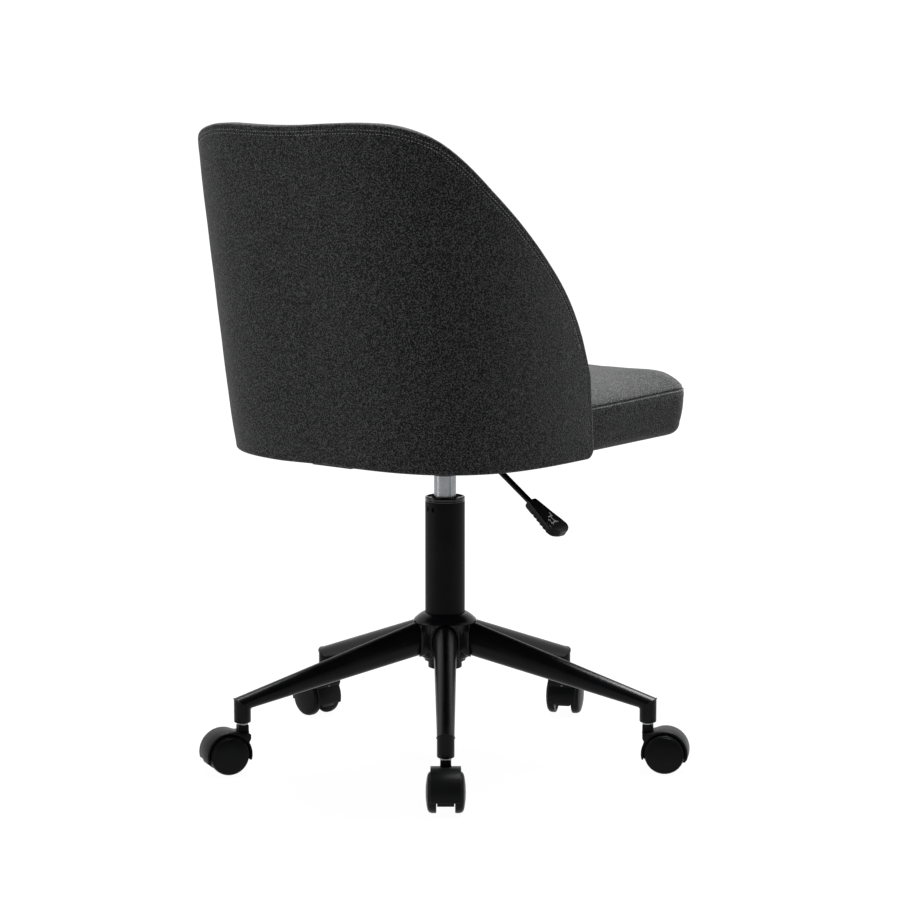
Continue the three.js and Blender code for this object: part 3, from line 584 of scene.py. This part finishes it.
def grip_shape():
    L = 60.5
    us = np.r_[np.linspace(0, 3, 7)[:-1], np.linspace(3, 46, 61)[:-1], np.linspace(46, L, 22)]
    key = np.array([(0, 7.0), (1.2, 8.0), (3, 8.5), (12, 10.2), (26, 13.0), (38, 15.6), (44, 16.6), (48.5, 17.0), (53, 16.0), (56.6, 13.6), (59.2, 10.4), (L, 7.0)])
    W = np.interp(us, key[:, 0], key[:, 1])
    W = np.convolve(np.pad(W, 2, "edge"), [1 / 9, 2 / 9, 3 / 9, 2 / 9, 1 / 9], "valid")
    rings = []
    for u, w in zip(us, W):
        end = max(0.0, (u - (L - 7)) / 7)
        start = max(0.0, (2.4 - u) / 2.4)
        hi = 5.1 - 1.0 * end**2 - 0.5 * start**2 - 0.35 * math.sin(math.pi * min(1, max(0, (u - 6) / 46)))
        low = -6.6 + 2.2 * end**2 + 0.8 * start**2
        wave = 0.5 - 0.5 * math.cos((u - 13) * 2 * math.pi / 7.0)
        grip = 1.5 * wave * min(1, max(0, (u - 13) / 4)) * min(1, max(0, (48 - u) / 4))
        # section: crisp top edge, sides drawn in a little, scalloped below the waist
        sec = [(w - 1.1, hi), (w - 0.35, hi - 0.3), (w, hi - 1.0), (w + 0.05, hi - 2.2), (w - 0.5, hi - 3.0)]
        sec += [(w - 0.55 - grip * k, low + (hi - 3.2 - low) * q) for q, k in ((0.9, 0.15), (0.7, 0.6), (0.5, 0.9), (0.3, 1.0))]
        sec += [(w - 0.9 - grip, low + 1.3), (w - 1.7 - grip, low + 0.4), (w - 3.0 - grip * 0.6, low)]
        top_in = [(w * q, hi - 0.25 * (1 - q * q)) for q in (0.25, 0.5, 0.75)]
        half = [(0, hi - 0.25)] + [(y, z) for y, z in top_in if y < w - 1.4] + sec
        half = [half[0]] + [(w * 0.3, hi - 0.23), (w * 0.6, hi - 0.16), ((w - 1.1) * 0.9, hi - 0.05)] + sec + [(w * 0.4, low), (0, low)]
        full = half + [(-y, z) for y, z in half[-2:0:-1]]
        rings.append(np.array([grip_point(u, y, z) for y, z in full]))
    return loft(rings)


build("lever_paddle", *grip_shape(), "grip", "lever", "dark_nylon", ["lever_grip"], 40)


def mark():
    """A plain up-and-down arrow on the paddle's top face, for raising and lowering."""
    parts = []
    z = 4.72

    def poly(pts):
        n = len(pts)
        v = [grip_point(u, y, z) for u, y in pts] + [grip_point(u, y, z + 0.16) for u, y in pts]
        f = [tuple(range(n))[::-1], tuple(range(n, 2 * n))] + [(i, (i + 1) % n, n + (i + 1) % n, n + i) for i in range(n)]
        return np.array(v), f

    # a seat in outline on its stem and foot, with an arrow each way beside it
    def bar(p, q, w):
        p, q = np.array(p, float), np.array(q, float)
        n = np.array([-(q - p)[1], (q - p)[0]]) / np.linalg.norm(q - p) * w / 2
        parts.append(poly([p - n, q - n, q + n, p + n]))

    bar((27, -6.0), (33, -4.6), 1.3)  # back rest
    bar((33, -5.2), (33.6, 3.8), 1.5)  # seat
    bar((33.6, -0.6), (41.5, -0.6), 1.3)  # stem
    bar((41.5, -0.8), (44.5, -5.4), 1.2)  # feet
    bar((41.5, -0.4), (44.5, 4.2), 1.2)
    bar((40.9, -0.6), (44.8, -0.6), 1.0)
    bar((37.5, 7.2), (46.5, 7.2), 0.9)  # arrows
    bar((37.2, 7.3), (39.6, 5.2), 0.9)
    bar((37.2, 7.1), (39.6, 9.2), 0.9)
    bar((46.8, 7.3), (44.4, 5.2), 0.9)
    bar((46.8, 7.1), (44.4, 9.2), 0.9)
    return merged(*parts)


build("paddle_mark", *mark(), "mark", "lever", "dark_nylon", (), 30)

# ------------------------------------------------------------------ back

A, B, N, Y0, Z0 = 222.0, 252.8, 3.24, -12.6, 404.1
FLARE, REC = 0.042, math.tan(0.133)
EDGE = np.array([(0, 815.7), (0.1, 817), (0.19, 818.6), (0.26, 819.6), (0.31, 819.4), (0.36, 816.2), (0.41, 809.5), (0.46, 798.5), (0.53, 774), (0.62, 735.5), (0.72, 693), (0.82, 647.5), (0.9, 603), (0.96, 552), (1, 497)])
_t = np.linspace(0, math.pi / 2, 1201)
_P = np.c_[A * np.sin(_t) ** (2 / N), B * np.clip(np.cos(_t), 0, 1) ** (2 / N)]
_P = np.r_[_P, [[A, -0.4]]]
_S = np.r_[0, np.cumsum(np.linalg.norm(np.diff(_P, axis=0), axis=1))]
PL = _S[-1]


def plan_at(s):
    s = np.asarray(s, float)
    q = np.abs(s)
    at = lambda d: np.c_[np.interp(d, _S, _P[:, 0]), np.interp(d, _S, _P[:, 1])]
    p = at(q)
    d = at(np.minimum(PL, q + 5)) - at(np.maximum(0, q - 5))
    near = q < 5  # mirror the curve past the middle
    mir = at(np.maximum(0, 5 - q)) * [-1, 1]
    d[near] = (at(q + 5) - mir)[near]
    d /= np.linalg.norm(d, axis=1)[:, None]
    nrm = np.c_[d[:, 1], -d[:, 0]]
    sg = np.where(s < 0, -1.0, 1.0)
    return p[:, 0] * sg, p[:, 1], nrm[:, 0] * sg, nrm[:, 1]


# the sewn cover is not quite even: millimetres added to the edge, from one front edge round to the other
UNEVEN = np.array([(-1.0, 9.0), (-0.96, 10.0), (-0.9, 5.7), (-0.82, 3.8), (-0.72, 4.0), (-0.62, 2.8), (-0.53, 2.3), (-0.46, 1.9), (-0.4, 0.3), (-0.34, 0.2), (-0.28, 1.0), (-0.2, 2.1), (-0.1, 1.2), (0.0, -0.9), (0.1, -4.0), (0.2, -5.6), (0.26, -6.6), (0.31, -9.2), (0.36, -10.6), (0.41, -9.4), (0.46, -6.9), (0.53, -4.3), (0.62, -2.0), (0.75, 0.0), (1.0, 0.0)])


def edge_z(s):
    """Height of the edge by distance from the rear middle."""
    q = np.asarray(s) / PL
    extra = sum(np.interp(q + k * 0.015, UNEVEN[:, 0], UNEVEN[:, 1]) for k in (-2, -1, 0, 1, 2)) / 5
    u = np.minimum(1, np.abs(s) / PL)
    x, y = EDGE[:, 0], EDGE[:, 1]
    m = np.gradient(y, x)
    for i in range(1, len(x) - 1):
        m[i] = (y[i + 1] - y[i - 1]) / (x[i + 1] - x[i - 1])
    m[0] = 0
    i = np.clip(np.searchsorted(x, u) - 1, 0, len(x) - 2)
    h = x[i + 1] - x[i]
    t = (u - x[i]) / h
    return extra + y[i] * (1 + 2 * t) * (1 - t) ** 2 + m[i] * h * t * (1 - t) ** 2 + y[i + 1] * t * t * (3 - 2 * t) + m[i + 1] * h * t * t * (t - 1)


def back_xyz(s, z, depth):
    x, y, nx, ny = plan_at(s)
    dz = z - Z0
    return np.c_[(x + nx * depth) * (1 + FLARE * dz / A), Y0 + y + ny * depth + REC * dz, z]


FINE = np.array([0, 0.15, 0.45, 0.9, 1.6, 2.5, 3.6, 4.8, 6.0, 7.2, 8.1, 8.8, 9.4, 10.0, 10.6, 11.3, 12.2, 13.6, 16.0])
CORNER_R = 13.5
TOP_CORNER_R = 26.0


def z_low(s):
    d = PL - np.abs(s)
    k = np.clip(CORNER_R - d, 0, CORNER_R)
    sag = 2.1 * np.clip(-s / PL * 1.6, 0, 1) + 1.9 * np.clip(s / PL * 6, 0, 1)
    return Z0 + CORNER_R - np.sqrt(CORNER_R**2 - k**2) - sag


def shell_grid():
    S = np.r_[PL - FINE, np.linspace(PL - 16, 0, 64)[1:]]
    S = np.r_[-S, S[::-1][1:]]
    lowz, topz = z_low(S), edge_z(S)
    slope = np.sqrt(1 + np.gradient(topz, S) ** 2)
    slope = np.minimum(slope, 2.6)
    rows = []
    for d in FINE:
        rows.append(lowz + d)
    t = np.linspace(0, 1, 46)[1:-1]
    top_in = topz - 16 * slope
    top_in = np.maximum(top_in, lowz + 22)
    for q in t:
        rows.append((lowz + 16) * (1 - q) + top_in * q)
    for d in FINE[::-1]:
        rows.append(topz - d * (topz - top_in) / 16)
    Z = np.array(rows)
    SS = np.repeat(S[None, :], len(rows), 0)
    # distance to the outline in the developed sheet
    top = np.c_[S, topz]
    bot = np.c_[S, lowz]
    loop = np.r_[bot, top[::-1]]
    p = np.c_[SS.ravel(), Z.ravel()]
    e = np.full(len(p), 1e9)
    for i in range(len(loop)):
        a, b = loop[i], loop[(i + 1) % len(loop)]
        ab = b - a
        l2 = ab @ ab
        if l2 < 1e-9:
            continue
        tt = np.clip(((p - a) @ ab) / l2, 0, 1)
        e = np.minimum(e, np.hypot(*(p - a - tt[:, None] * ab).T))
    return SS, Z, e.reshape(Z.shape), loop


SS, ZZ, EE, OUTLINE = shell_grid()
NR, NC = SS.shape


def roll(e, r):
    k = np.clip(r - e, 0, r)
    return r - np.sqrt(np.maximum(0, r * r - k * k))


def ripple(s, z, amp, seed):
    """Slow unevenness of stretched cloth, in millimetres."""
    g = np.random.default_rng(seed)
    out = np.zeros_like(s)
    for _ in range(9):
        k = g.normal(0, 1, 2) * 0.035
        out += np.sin(k[0] * s + k[1] * z + g.uniform(0, 6.28))
    return out * amp / 3


def shell_piece(name, face_depth, back_depth, mat, replaces, r_edge, sign, seam=True, puff=None):
    """Closed padded panel between two depths of the shell."""
    d = face_depth + sign * roll(EE, r_edge)
    if seam:
        d += sign * 0.7 * SEWN * np.exp(-(((EE - SEAM_IN) / 0.7) ** 2))
        d -= sign * 0.2 * SEWN * np.exp(-(((EE - 5.2) / 2.6) ** 2))
    d += puff if puff is not None else 0
    face = back_xyz(SS.ravel(), ZZ.ravel(), d.ravel())
    rear = back_xyz(SS.ravel(), ZZ.ravel(), np.full(SS.size, back_depth))
    V = np.r_[face, rear]
    idx = np.arange(NR * NC).reshape(NR, NC)
    F = []
    for i in range(NR - 1):
        for j in range(NC - 1):
            F.append((idx[i, j], idx[i, j + 1], idx[i + 1, j + 1], idx[i + 1, j]))
            o = NR * NC
            F.append((o + idx[i, j], o + idx[i + 1, j], o + idx[i + 1, j + 1], o + idx[i, j + 1]))
    loop = list(idx[0]) + list(idx[1:, -1]) + list(idx[-1, -2::-1]) + list(idx[-2:0:-1, 0])
    o = NR * NC
    for a, b in zip(loop, loop[1:] + loop[:1]):
        F.append((a, b, o + b, o + a))
    uv = np.c_[SS.ravel(), ZZ.ravel()] * MM
    return build(name, V, F, mat, "seat_assembly", "charcoal_fabric", replaces, 50, uv=np.r_[uv, uv])


SEAM_IN = 9.6
OUT_R, IN_R = 3.4, 8.0
sewn_at = lambda z: np.clip((z - Z0 - 16) / 14, 0, 1)  # the double seam runs over the top and down the wings, not along the bottom
SEWN = sewn_at(ZZ) * np.clip((0.95 - np.abs(SS) / PL) / 0.08, 0, 1)
inside = 1 - np.exp(-np.clip(EE - SEAM_IN, 0, None) / 22)
outer_puff = -1.6 * inside + ripple(SS, ZZ, 0.28, 3) * inside
outer = shell_piece("back_outer_shell", 0.0, 15.6, "fabric", ["back_outer_cover"], OUT_R, 1, True, outer_puff)
inner_in = 1 - np.exp(-np.clip(EE - 6, 0, None) / 30)
inner_puff = 3.2 * inner_in * np.clip((ZZ - 470) / 60, 0, 1) + ripple(SS, ZZ, 0.5, 5) * inner_in
inner = shell_piece("back_inner_cushion", 31.0, 16.0, "fabric", ["back_inner_pad"], IN_R, -1, False, inner_puff)


def inset_path(loop, dist, step=1.0):
    """Closed line a distance inside a closed outline, resampled evenly."""
    P = np.asarray(loop, float)
    keep = np.r_[True, np.linalg.norm(np.diff(P, axis=0), axis=1) > 1e-6]
    P = P[keep]
    L = np.r_[0, np.cumsum(np.linalg.norm(np.diff(np.r_[P, P[:1]], axis=0), axis=1))]
    n = int(L[-1] / step)
    q = np.linspace(0, L[-1], n, endpoint=False)
    C = np.r_[P, P[:1]]
    R = np.c_[np.interp(q, L, C[:, 0]), np.interp(q, L, C[:, 1])]
    T = np.roll(R, -3, 0) - np.roll(R, 3, 0)
    T /= np.linalg.norm(T, axis=1)[:, None]
    I = R + np.c_[-T[:, 1], T[:, 0]] * dist
    # drop the points that a tight corner folds back on
    d = np.full(len(I), 1e9)
    for k in range(0, len(R), 1):
        d = np.minimum(d, np.hypot(*(I - R[k]).T))
    return I[d > dist - 0.35]


def resample(P, pitch):
    C = np.r_[P, P[:1]]
    L = np.r_[0, np.cumsum(np.linalg.norm(np.diff(C, axis=0), axis=1))]
    n = int(L[-1] / pitch)
    q = (np.arange(n) + 0.5) * L[-1] / n
    return np.stack([np.interp(q, L, C[:, i]) for i in range(C.shape[1])], 1)


def stitches(name, P, T, Nn, length, width, height, mat="thread", twist=0.0, sink=0.25, body="seat_assembly"):
    """One small raised thread at each point P, along T, with outward normal Nn."""
    n_u, n_v = 7, 8
    V, F, k = [], [], 0
    us = np.linspace(-1, 1, n_u)
    for p, t, n in zip(P, T, Nn):
        t = t / np.linalg.norm(t)
        n = n - t * (n @ t)
        n /= np.linalg.norm(n)
        b = np.cross(n, t)
        if twist:
            c, s = math.cos(twist), math.sin(twist)
            t, b = t * c + b * s, b * c - t * s
        ring = []
        for u in us:
            r = math.sqrt(max(0.02, 1 - abs(u) ** 2.6))
            a = np.arange(n_v) * 2 * math.pi / n_v
            lift = height * (1 - 1.15 * u * u) - sink
            ring.append(p + t * u * length / 2 + n * lift + r * (width / 2) * (np.cos(a)[:, None] * b + 0.8 * np.sin(a)[:, None] * n))
        v, f = loft(ring)
        V.append(v)
        F += [tuple(i + k for i in x) for x in f]
        k += len(v)
    return build(name, np.concatenate(V), F, mat, body, "charcoal_fabric", (), 60)


_out_xyz = None


def outer_surface(s, z, e):
    """Point on the outer face at sheet place (s, z), e from the edge."""
    ins = 1 - np.exp(-np.clip(e - SEAM_IN, 0, None) / 22)
    d = roll(e, OUT_R) - 0.2 * np.exp(-(((e - 5.2) / 2.6) ** 2)) - 1.6 * ins
    return back_xyz(s, z, d)


for tag, dist in (("a", SEAM_IN - 2.1), ("b", SEAM_IN + 2.1)):
    line = resample(inset_path(OUTLINE, dist, 1.0), 3.7)
    line = line[(line[:, 1] > Z0 + 26) & (np.abs(line[:, 0]) < 0.945 * PL)]
    e = np.full(len(line), dist)
    P = outer_surface(line[:, 0], line[:, 1], e)
    T = np.gradient(P, axis=0)
    jump = np.linalg.norm(np.diff(P, axis=0), axis=1)
    for k in np.where(jump > 8)[0]:  # either side of the gap along the bottom
        T[k], T[k + 1] = P[k] - P[k - 1], P[k + 2] - P[k + 1]
    _, _, nx, ny = plan_at(line[:, 0])
    Nn = np.c_[-nx, -ny, np.zeros(len(line))]
    stitches(f"back_stitch_{tag}", P, T, Nn, 2.7, 0.75, 0.42)



def settle(o, cap, share, fade, voxel=8.0, pressure=4.0):
    """Swell a copy of a pad under light air pressure, as cloth, and lay the piece's own cover the same way.

    The even part of the growth is taken off, so the pad keeps its size, and no point moves more than cap millimetres."""
    sc = bpy.context.scene
    work = bpy.data.objects.new("settle", o.data.copy())
    sc.collection.objects.link(work)
    rm = work.modifiers.new("remesh", "REMESH")
    rm.mode, rm.voxel_size = "VOXEL", voxel * MM
    bpy.context.view_layer.update()
    me = bpy.data.meshes.new_from_object(work.evaluated_get(bpy.context.evaluated_depsgraph_get()))
    work.modifiers.clear()
    work.data = me
    start = np.array([v.co for v in me.vertices])
    normal = np.array([v.normal for v in me.vertices])
    held = work.vertex_groups.new(name="held")
    low = start[:, 2].min() + 7 * MM
    held.add([int(i) for i in np.where(start[:, 2] < low)[0]], 1.0, "REPLACE")
    cl = work.modifiers.new("cloth", "CLOTH")
    cl.settings.quality = 4
    cl.settings.use_pressure = True
    cl.settings.uniform_pressure_force = pressure
    cl.settings.effector_weights.gravity = 0
    cl.settings.vertex_group_mass = "held"
    cl.point_cache.frame_start, cl.point_cache.frame_end = 1, 20
    for f in range(1, 21):
        sc.frame_set(f)
    done = bpy.data.meshes.new_from_object(work.evaluated_get(bpy.context.evaluated_depsgraph_get()))
    end = np.array([v.co for v in done.vertices])
    bpy.data.objects.remove(work)
    sc.frame_set(1)
    if len(end) != len(start) or not np.isfinite(end).all():
        return
    h = ((end - start) * normal).sum(1)
    free = start[:, 2] > low
    h = np.where(free, h - np.median(h[free]), 0)
    h = cap * MM * np.tanh(share * h / (cap * MM))
    move = normal * h[:, None]
    tree = KDTree(len(start))
    for i, p in enumerate(start):
        tree.insert(p, i)
    tree.balance()
    V = np.array([v.co for v in o.data.vertices])
    k = fade(V[:, 0] / MM - CX, V[:, 1] / MM - CY, V[:, 2] / MM)
    for j, p in enumerate(V):
        if k[j] <= 0:
            continue
        near = tree.find_n(p, 7)
        w = np.array([1 / (d + 0.002) for _, _, d in near])
        m = (move[[i for _, i, _ in near]] * w[:, None]).sum(0) / w.sum()
        V[j] = p + m * k[j]
    o.data.vertices.foreach_set("co", V.astype(np.float32).ravel())
    o.data.update()


# ------------------------------------------------------------------ seat

HW, FY, BOW, CR = 193.0, -291.0, 14.0, 46.0
SZ, CROWN, REACH = 449.0, 34.0, 72.0
THICK = 31.0 + 2.0


def seat_loop(inset, z_lean, n=360):
    """Closed outline of the seat, evenly spaced from the rear middle, clockwise from above."""
    hw, front, r = HW - inset, FY + inset, max(8.0, CR - inset * 0.75)
    lean = REC * max(0.0, z_lean - Z0)
    s = np.linspace(0, 0.86 * PL, 120)
    x, y, nx, ny = plan_at(s)
    d = THICK + inset
    px = np.minimum(hw, x + nx * d)
    py = Y0 + y + ny * d
    py = py + lean * np.clip(py / 120, 0, 1)
    pts = list(np.c_[np.maximum(0, px), py])
    pts += [(hw, -75.0), (hw, -150.0)]
    cy = front + BOW + r
    for a in np.linspace(0, math.pi / 2, 24):
        q = 2 / 2.15
        pts.append((hw - r + r * math.cos(a) ** q, cy - r * math.sin(a) ** q))
    span = hw - r
    for t in np.linspace(1, 0, 22)[1:]:
        pts.append((span * t, front + BOW * t * t))
    R = np.array(pts)
    L = np.r_[0, np.cumsum(np.linalg.norm(np.diff(R, axis=0), axis=1))]
    q = np.linspace(0, L[-1], n // 2 + 1)
    R = np.c_[np.interp(q, L, R[:, 0]), np.interp(q, L, R[:, 1])]
    return np.r_[R, R[-2:0:-1] * [-1, 1]]


def side_inset(z):
    """How far the seat's flank stands inside its widest line at a height, by one smooth profile."""
    z = np.asarray(z, float)
    low = 4.6 - 4.2 * np.clip((z - 415) / (SZ - 415), 0, 1) ** 0.9 - 0.9 * np.sin(math.pi * np.clip((z - 415) / (SZ - 415), 0, 1))
    t = np.arcsin(np.clip((z - SZ) / CROWN, 0, 1) ** (2.35 / 2))
    return np.where(z < SZ, np.maximum(0, low), REACH * (1 - np.cos(t) ** (2 / 2.35)))


def seam_height(y):
    """The seam between side band and top panel climbs a little towards the front."""
    return 457.0 + 2.0 * np.clip((-np.asarray(y) - 30) / 240, 0, 1) ** 1.1


def front_lift(x, y, z):
    """The filling stands fuller along the front edge."""
    corner = np.clip((-y - 150) / 110, 0, 1) * np.clip((np.abs(x) - 70) / 90, 0, 1)
    return (6.4 * corner - 2.6) * np.clip((z - 460) / 20, 0, 1)


GROOVE = [(-4.5, 0.0), (-3.4, -0.05), (-2.4, -0.05), (-1.7, 0.05), (-1.1, 0.2), (-0.6, 0.5), (-0.2, 0.7), (0.2, 0.65), (0.6, 0.35), (1.1, 0.0), (1.8, -0.2), (2.8, -0.3), (4.0, -0.2), (5.5, -0.1)]


def seat_piece():
    n = 360
    rings, uvs = [], []

    def ring(z, groove=0.0, follow=0.0, inset=None):
        base = 0.0 if inset is None else inset
        a0, a1 = seat_loop(base, z, n), seat_loop(base + 1.0, z, n)
        zz = z + follow * (seam_height(a0[:, 1]) - 458.0)
        if inset is None:
            w = side_inset(zz) + groove
            loop = a0 + (a1 - a0) * w[:, None] if w.max() < 6 else None
            if loop is None:
                m = seat_loop(float(w.mean()), z, n)
                m1 = seat_loop(float(w.mean()) + 1.0, z, n)
                loop = m + (m1 - m) * (w - w.mean())[:, None]
        else:
            loop = a0
        zz = zz + front_lift(loop[:, 0], loop[:, 1], zz)
        rings.append(np.c_[loop, zz])
        per = np.arange(n) * 1500.0 / n
        uvs.append(np.c_[per, zz] if z < 458 else loop.copy())

    for inset, z in [(25.5, 416.4), (24.2, 416.0), (24.2, 402.4), (23.6, 400.8), (20, 399.9), (16, 399.8)]:
        ring(z, inset=inset)
    for a in np.linspace(0, 1, 9)[1:]:
        t = a * math.pi / 2
        ring(399.8 + 15.4 * (1 - math.cos(t)), inset=4.6 + 12 * (1 - math.sin(t)))
    for z in np.linspace(418.5, 446, 9):
        ring(z, follow=0.25 * max(0, (z - 436) / 14))
    for z in (449.0, 451.5):
        ring(z, follow=0.25 + 0.6 * (z - 446) / 7)
    for dz, g in GROOVE:
        ring(458 + dz, g, 1.0)
    for a in np.linspace(0, 1, 20)[1:]:
        z = 464.5 + (SZ + CROWN - 464.5) * math.sin(a * math.pi / 2)
        ring(z, 0.0, 0.8 * (1 - a) ** 1.5)
    last = rings[-1]
    c = np.array([0, last[:, 1].mean(), 0])
    for q in (0.93, 0.85, 0.76, 0.67, 0.58, 0.48, 0.38, 0.28, 0.18, 0.08):
        r = last * [q, 1, 1]
        r[:, 1] = c[1] + (last[:, 1] - c[1]) * q
        r[:, 2] = last[:, 2] * (1 - (1 - q) * 0.5) + last[:, 2].mean() * (1 - q) * 0.5 - 0.6 * (1 - q * q)
        rings.append(r)
        uvs.append(r[:, :2])
    V, F = loft(rings)
    return V, F, np.concatenate(uvs) * MM


sv, sf, suv = seat_piece()
sv = sv + np.c_[np.zeros((len(sv), 2)), ripple(sv[:, 0], sv[:, 1], 0.35, 11) * np.clip((sv[:, 2] - 474) / 8, 0, 1)]
seat = build("seat_upholstery", sv, sf, "fabric", "seat_assembly", "charcoal_fabric", ["seat_cushion"], 60, uv=suv)
settle(seat, 1.8, 0.07, lambda x, y, z: np.clip((z - 462) / 10, 0, 1))
settle(inner, 5.0, 0.16, lambda x, y, z: np.clip((z - 488) / 40, 0, 1))
base_line = seat_loop(0.0, SZ, 720)
line = seat_loop(1.0, SZ, 720)
below = seam_height(base_line[:, 1]) - 1.9
path = np.c_[base_line + (line - base_line) * (side_inset(below) - 0.15)[:, None], below]
path = resample(path, 4.0)
T = np.roll(path, -1, 0) - np.roll(path, 1, 0)
Nn = np.c_[-T[:, 1], T[:, 0], np.zeros(len(T))]
stitches("seat_stitch", path, T, Nn, 1.9, 1.0, 0.65)

# ------------------------------------------------------------------ floor, light and camera

me = bpy.data.meshes.new("floor")
me.from_pydata([(-120, -120, 0), (120, -120, 0), (120, 120, 0), (-120, 120, 0)], [], [(0, 1, 2, 3)])
floor = bpy.data.objects.new("floor", me)
bpy.context.scene.collection.objects.link(floor)
fm, ft, fb = material("pale_floor", (0.03, 0.03, 0.03), 0.9, spec=0.0)
ft.links.new(ramp(ft, noise(ft, coords(ft), 3.0, 2.0), [(0.0, (0.028, 0.028, 0.028)), (1.0, (0.032, 0.032, 0.032))]), fb.inputs["Base Color"])
fb.inputs["Emission Color"].default_value = (1, 1, 1, 1)
fb.inputs["Emission Strength"].default_value = 0.975
me.materials.append(fm)

world = bpy.data.worlds.new("studio")
world.use_nodes = True
world.node_tree.nodes["Background"].inputs["Color"].default_value = (1, 1, 1, 1)
world.node_tree.nodes["Background"].inputs["Strength"].default_value = 1.0
bpy.context.scene.world = world

# white wall of the cove on the near side: it shows behind the chair, and lights nothing
arc_a = [(-142 + k * 10) * DEG for k in range(27)]
wall_r = 28.0
me = bpy.data.meshes.new("cove_wall")
me.from_pydata(
    [(wall_r * math.cos(a), wall_r * math.sin(a), z) for z in (-0.5, 70.0) for a in [x + 90 * DEG for x in arc_a]], [],
    [(i, i + 1, 27 + i + 1, 27 + i) for i in range(26)])
wall = bpy.data.objects.new("cove_wall", me)
bpy.context.scene.collection.objects.link(wall)
wm, wnt, wb = material("cove_white", (0.03, 0.03, 0.03), 0.9, spec=0.0)
wb.inputs["Emission Color"].default_value = (1, 1, 1, 1)
wb.inputs["Emission Strength"].default_value = 1.0
wm.cycles.emission_sampling = "NONE"
me.materials.append(wm)
wall.visible_diffuse = wall.visible_glossy = wall.visible_transmission = wall.visible_volume_scatter = wall.visible_shadow = False

TH = 38 * DEG
c38, s38 = math.cos(TH), math.sin(TH)
RIGHT = Vector((-c38, -s38, 0))
AWAY = Vector((s38, -c38, 0))

# a white cove beyond and to the sides, a dim room on the near side
wt = world.node_tree
wc = wt.nodes.new("ShaderNodeTexCoord")
wd = wt.nodes.new("ShaderNodeVectorMath")
wd.operation = "DOT_PRODUCT"
wd.inputs[1].default_value = AWAY
wt.links.new(wc.outputs["Generated"], wd.inputs[0])
wr = ramp(wt, maths(wt, "ADD", maths(wt, "MULTIPLY", wd.outputs["Value"], 0.5), 0.5), [(0.1, (0.07, 0.07, 0.07)), (0.32, (0.13, 0.13, 0.13)), (0.48, (1, 1, 1))])
wt.links.new(wr, wt.nodes["Background"].inputs["Color"])


def sun(name, towards, strength, angle):
    d = bpy.data.lights.new(name, "SUN")
    d.energy, d.angle = strength, angle * DEG
    o = bpy.data.objects.new(name, d)
    bpy.context.scene.collection.objects.link(o)
    o.rotation_mode = "QUATERNION"
    o.rotation_quaternion = Vector(towards).to_track_quat("-Z", "Y")
    return o


def softbox(name, place_at, target, size, power):
    d = bpy.data.lights.new(name, "AREA")
    d.shape, d.size, d.size_y, d.energy = "RECTANGLE", size[0], size[1], power
    o = bpy.data.objects.new(name, d)
    bpy.context.scene.collection.objects.link(o)
    o.location = place_at
    o.rotation_mode = "QUATERNION"
    o.rotation_quaternion = (Vector(target) - Vector(place_at)).to_track_quat("-Z", "Y")
    return o


# the key comes down from above and a little beyond, on the right
sun("key", Vector((0, 0, -1)) - AWAY * 0.32 - RIGHT * 0.1, 13.0, 35)
centre = Vector((0, 0, 0.45))
softbox("side_right", centre + RIGHT * 2.2 - AWAY * 0.6 + Vector((0, 0, 0.5)), centre, (0.5, 2.0), 3)
softbox("side_left", centre - RIGHT * 2.2 - AWAY * 0.5 + Vector((0, 0, 0.5)), centre, (0.5, 2.0), 13)

cam_data = bpy.data.cameras.new("camera")
cam_data.lens, cam_data.sensor_width = 145.3188, 36.0
cam_data.clip_start, cam_data.clip_end = 0.1, 400
cam = bpy.data.objects.new("camera", cam_data)
bpy.context.scene.collection.objects.link(cam)
D, H, PITCH, YAW = 4.5, 1.107729, 0.1576827, 0.001389
cam.location = Vector((CX * MM, CY * MM, H)) - AWAY * D
right = RIGHT * math.cos(YAW) - AWAY * math.sin(YAW)
ground = RIGHT * math.sin(YAW) + AWAY * math.cos(YAW)
forward = ground * math.cos(PITCH) - Vector((0, 0, 1)) * math.sin(PITCH)
upv = ground * math.sin(PITCH) + Vector((0, 0, 1)) * math.cos(PITCH)
cam.rotation_mode = "QUATERNION"
cam.rotation_quaternion = Matrix((right, upv, -forward)).transposed().to_quaternion()
bpy.context.scene.camera = cam
bpy.context.scene.view_settings.view_transform = "Standard"

bpy.context.view_layer.update()
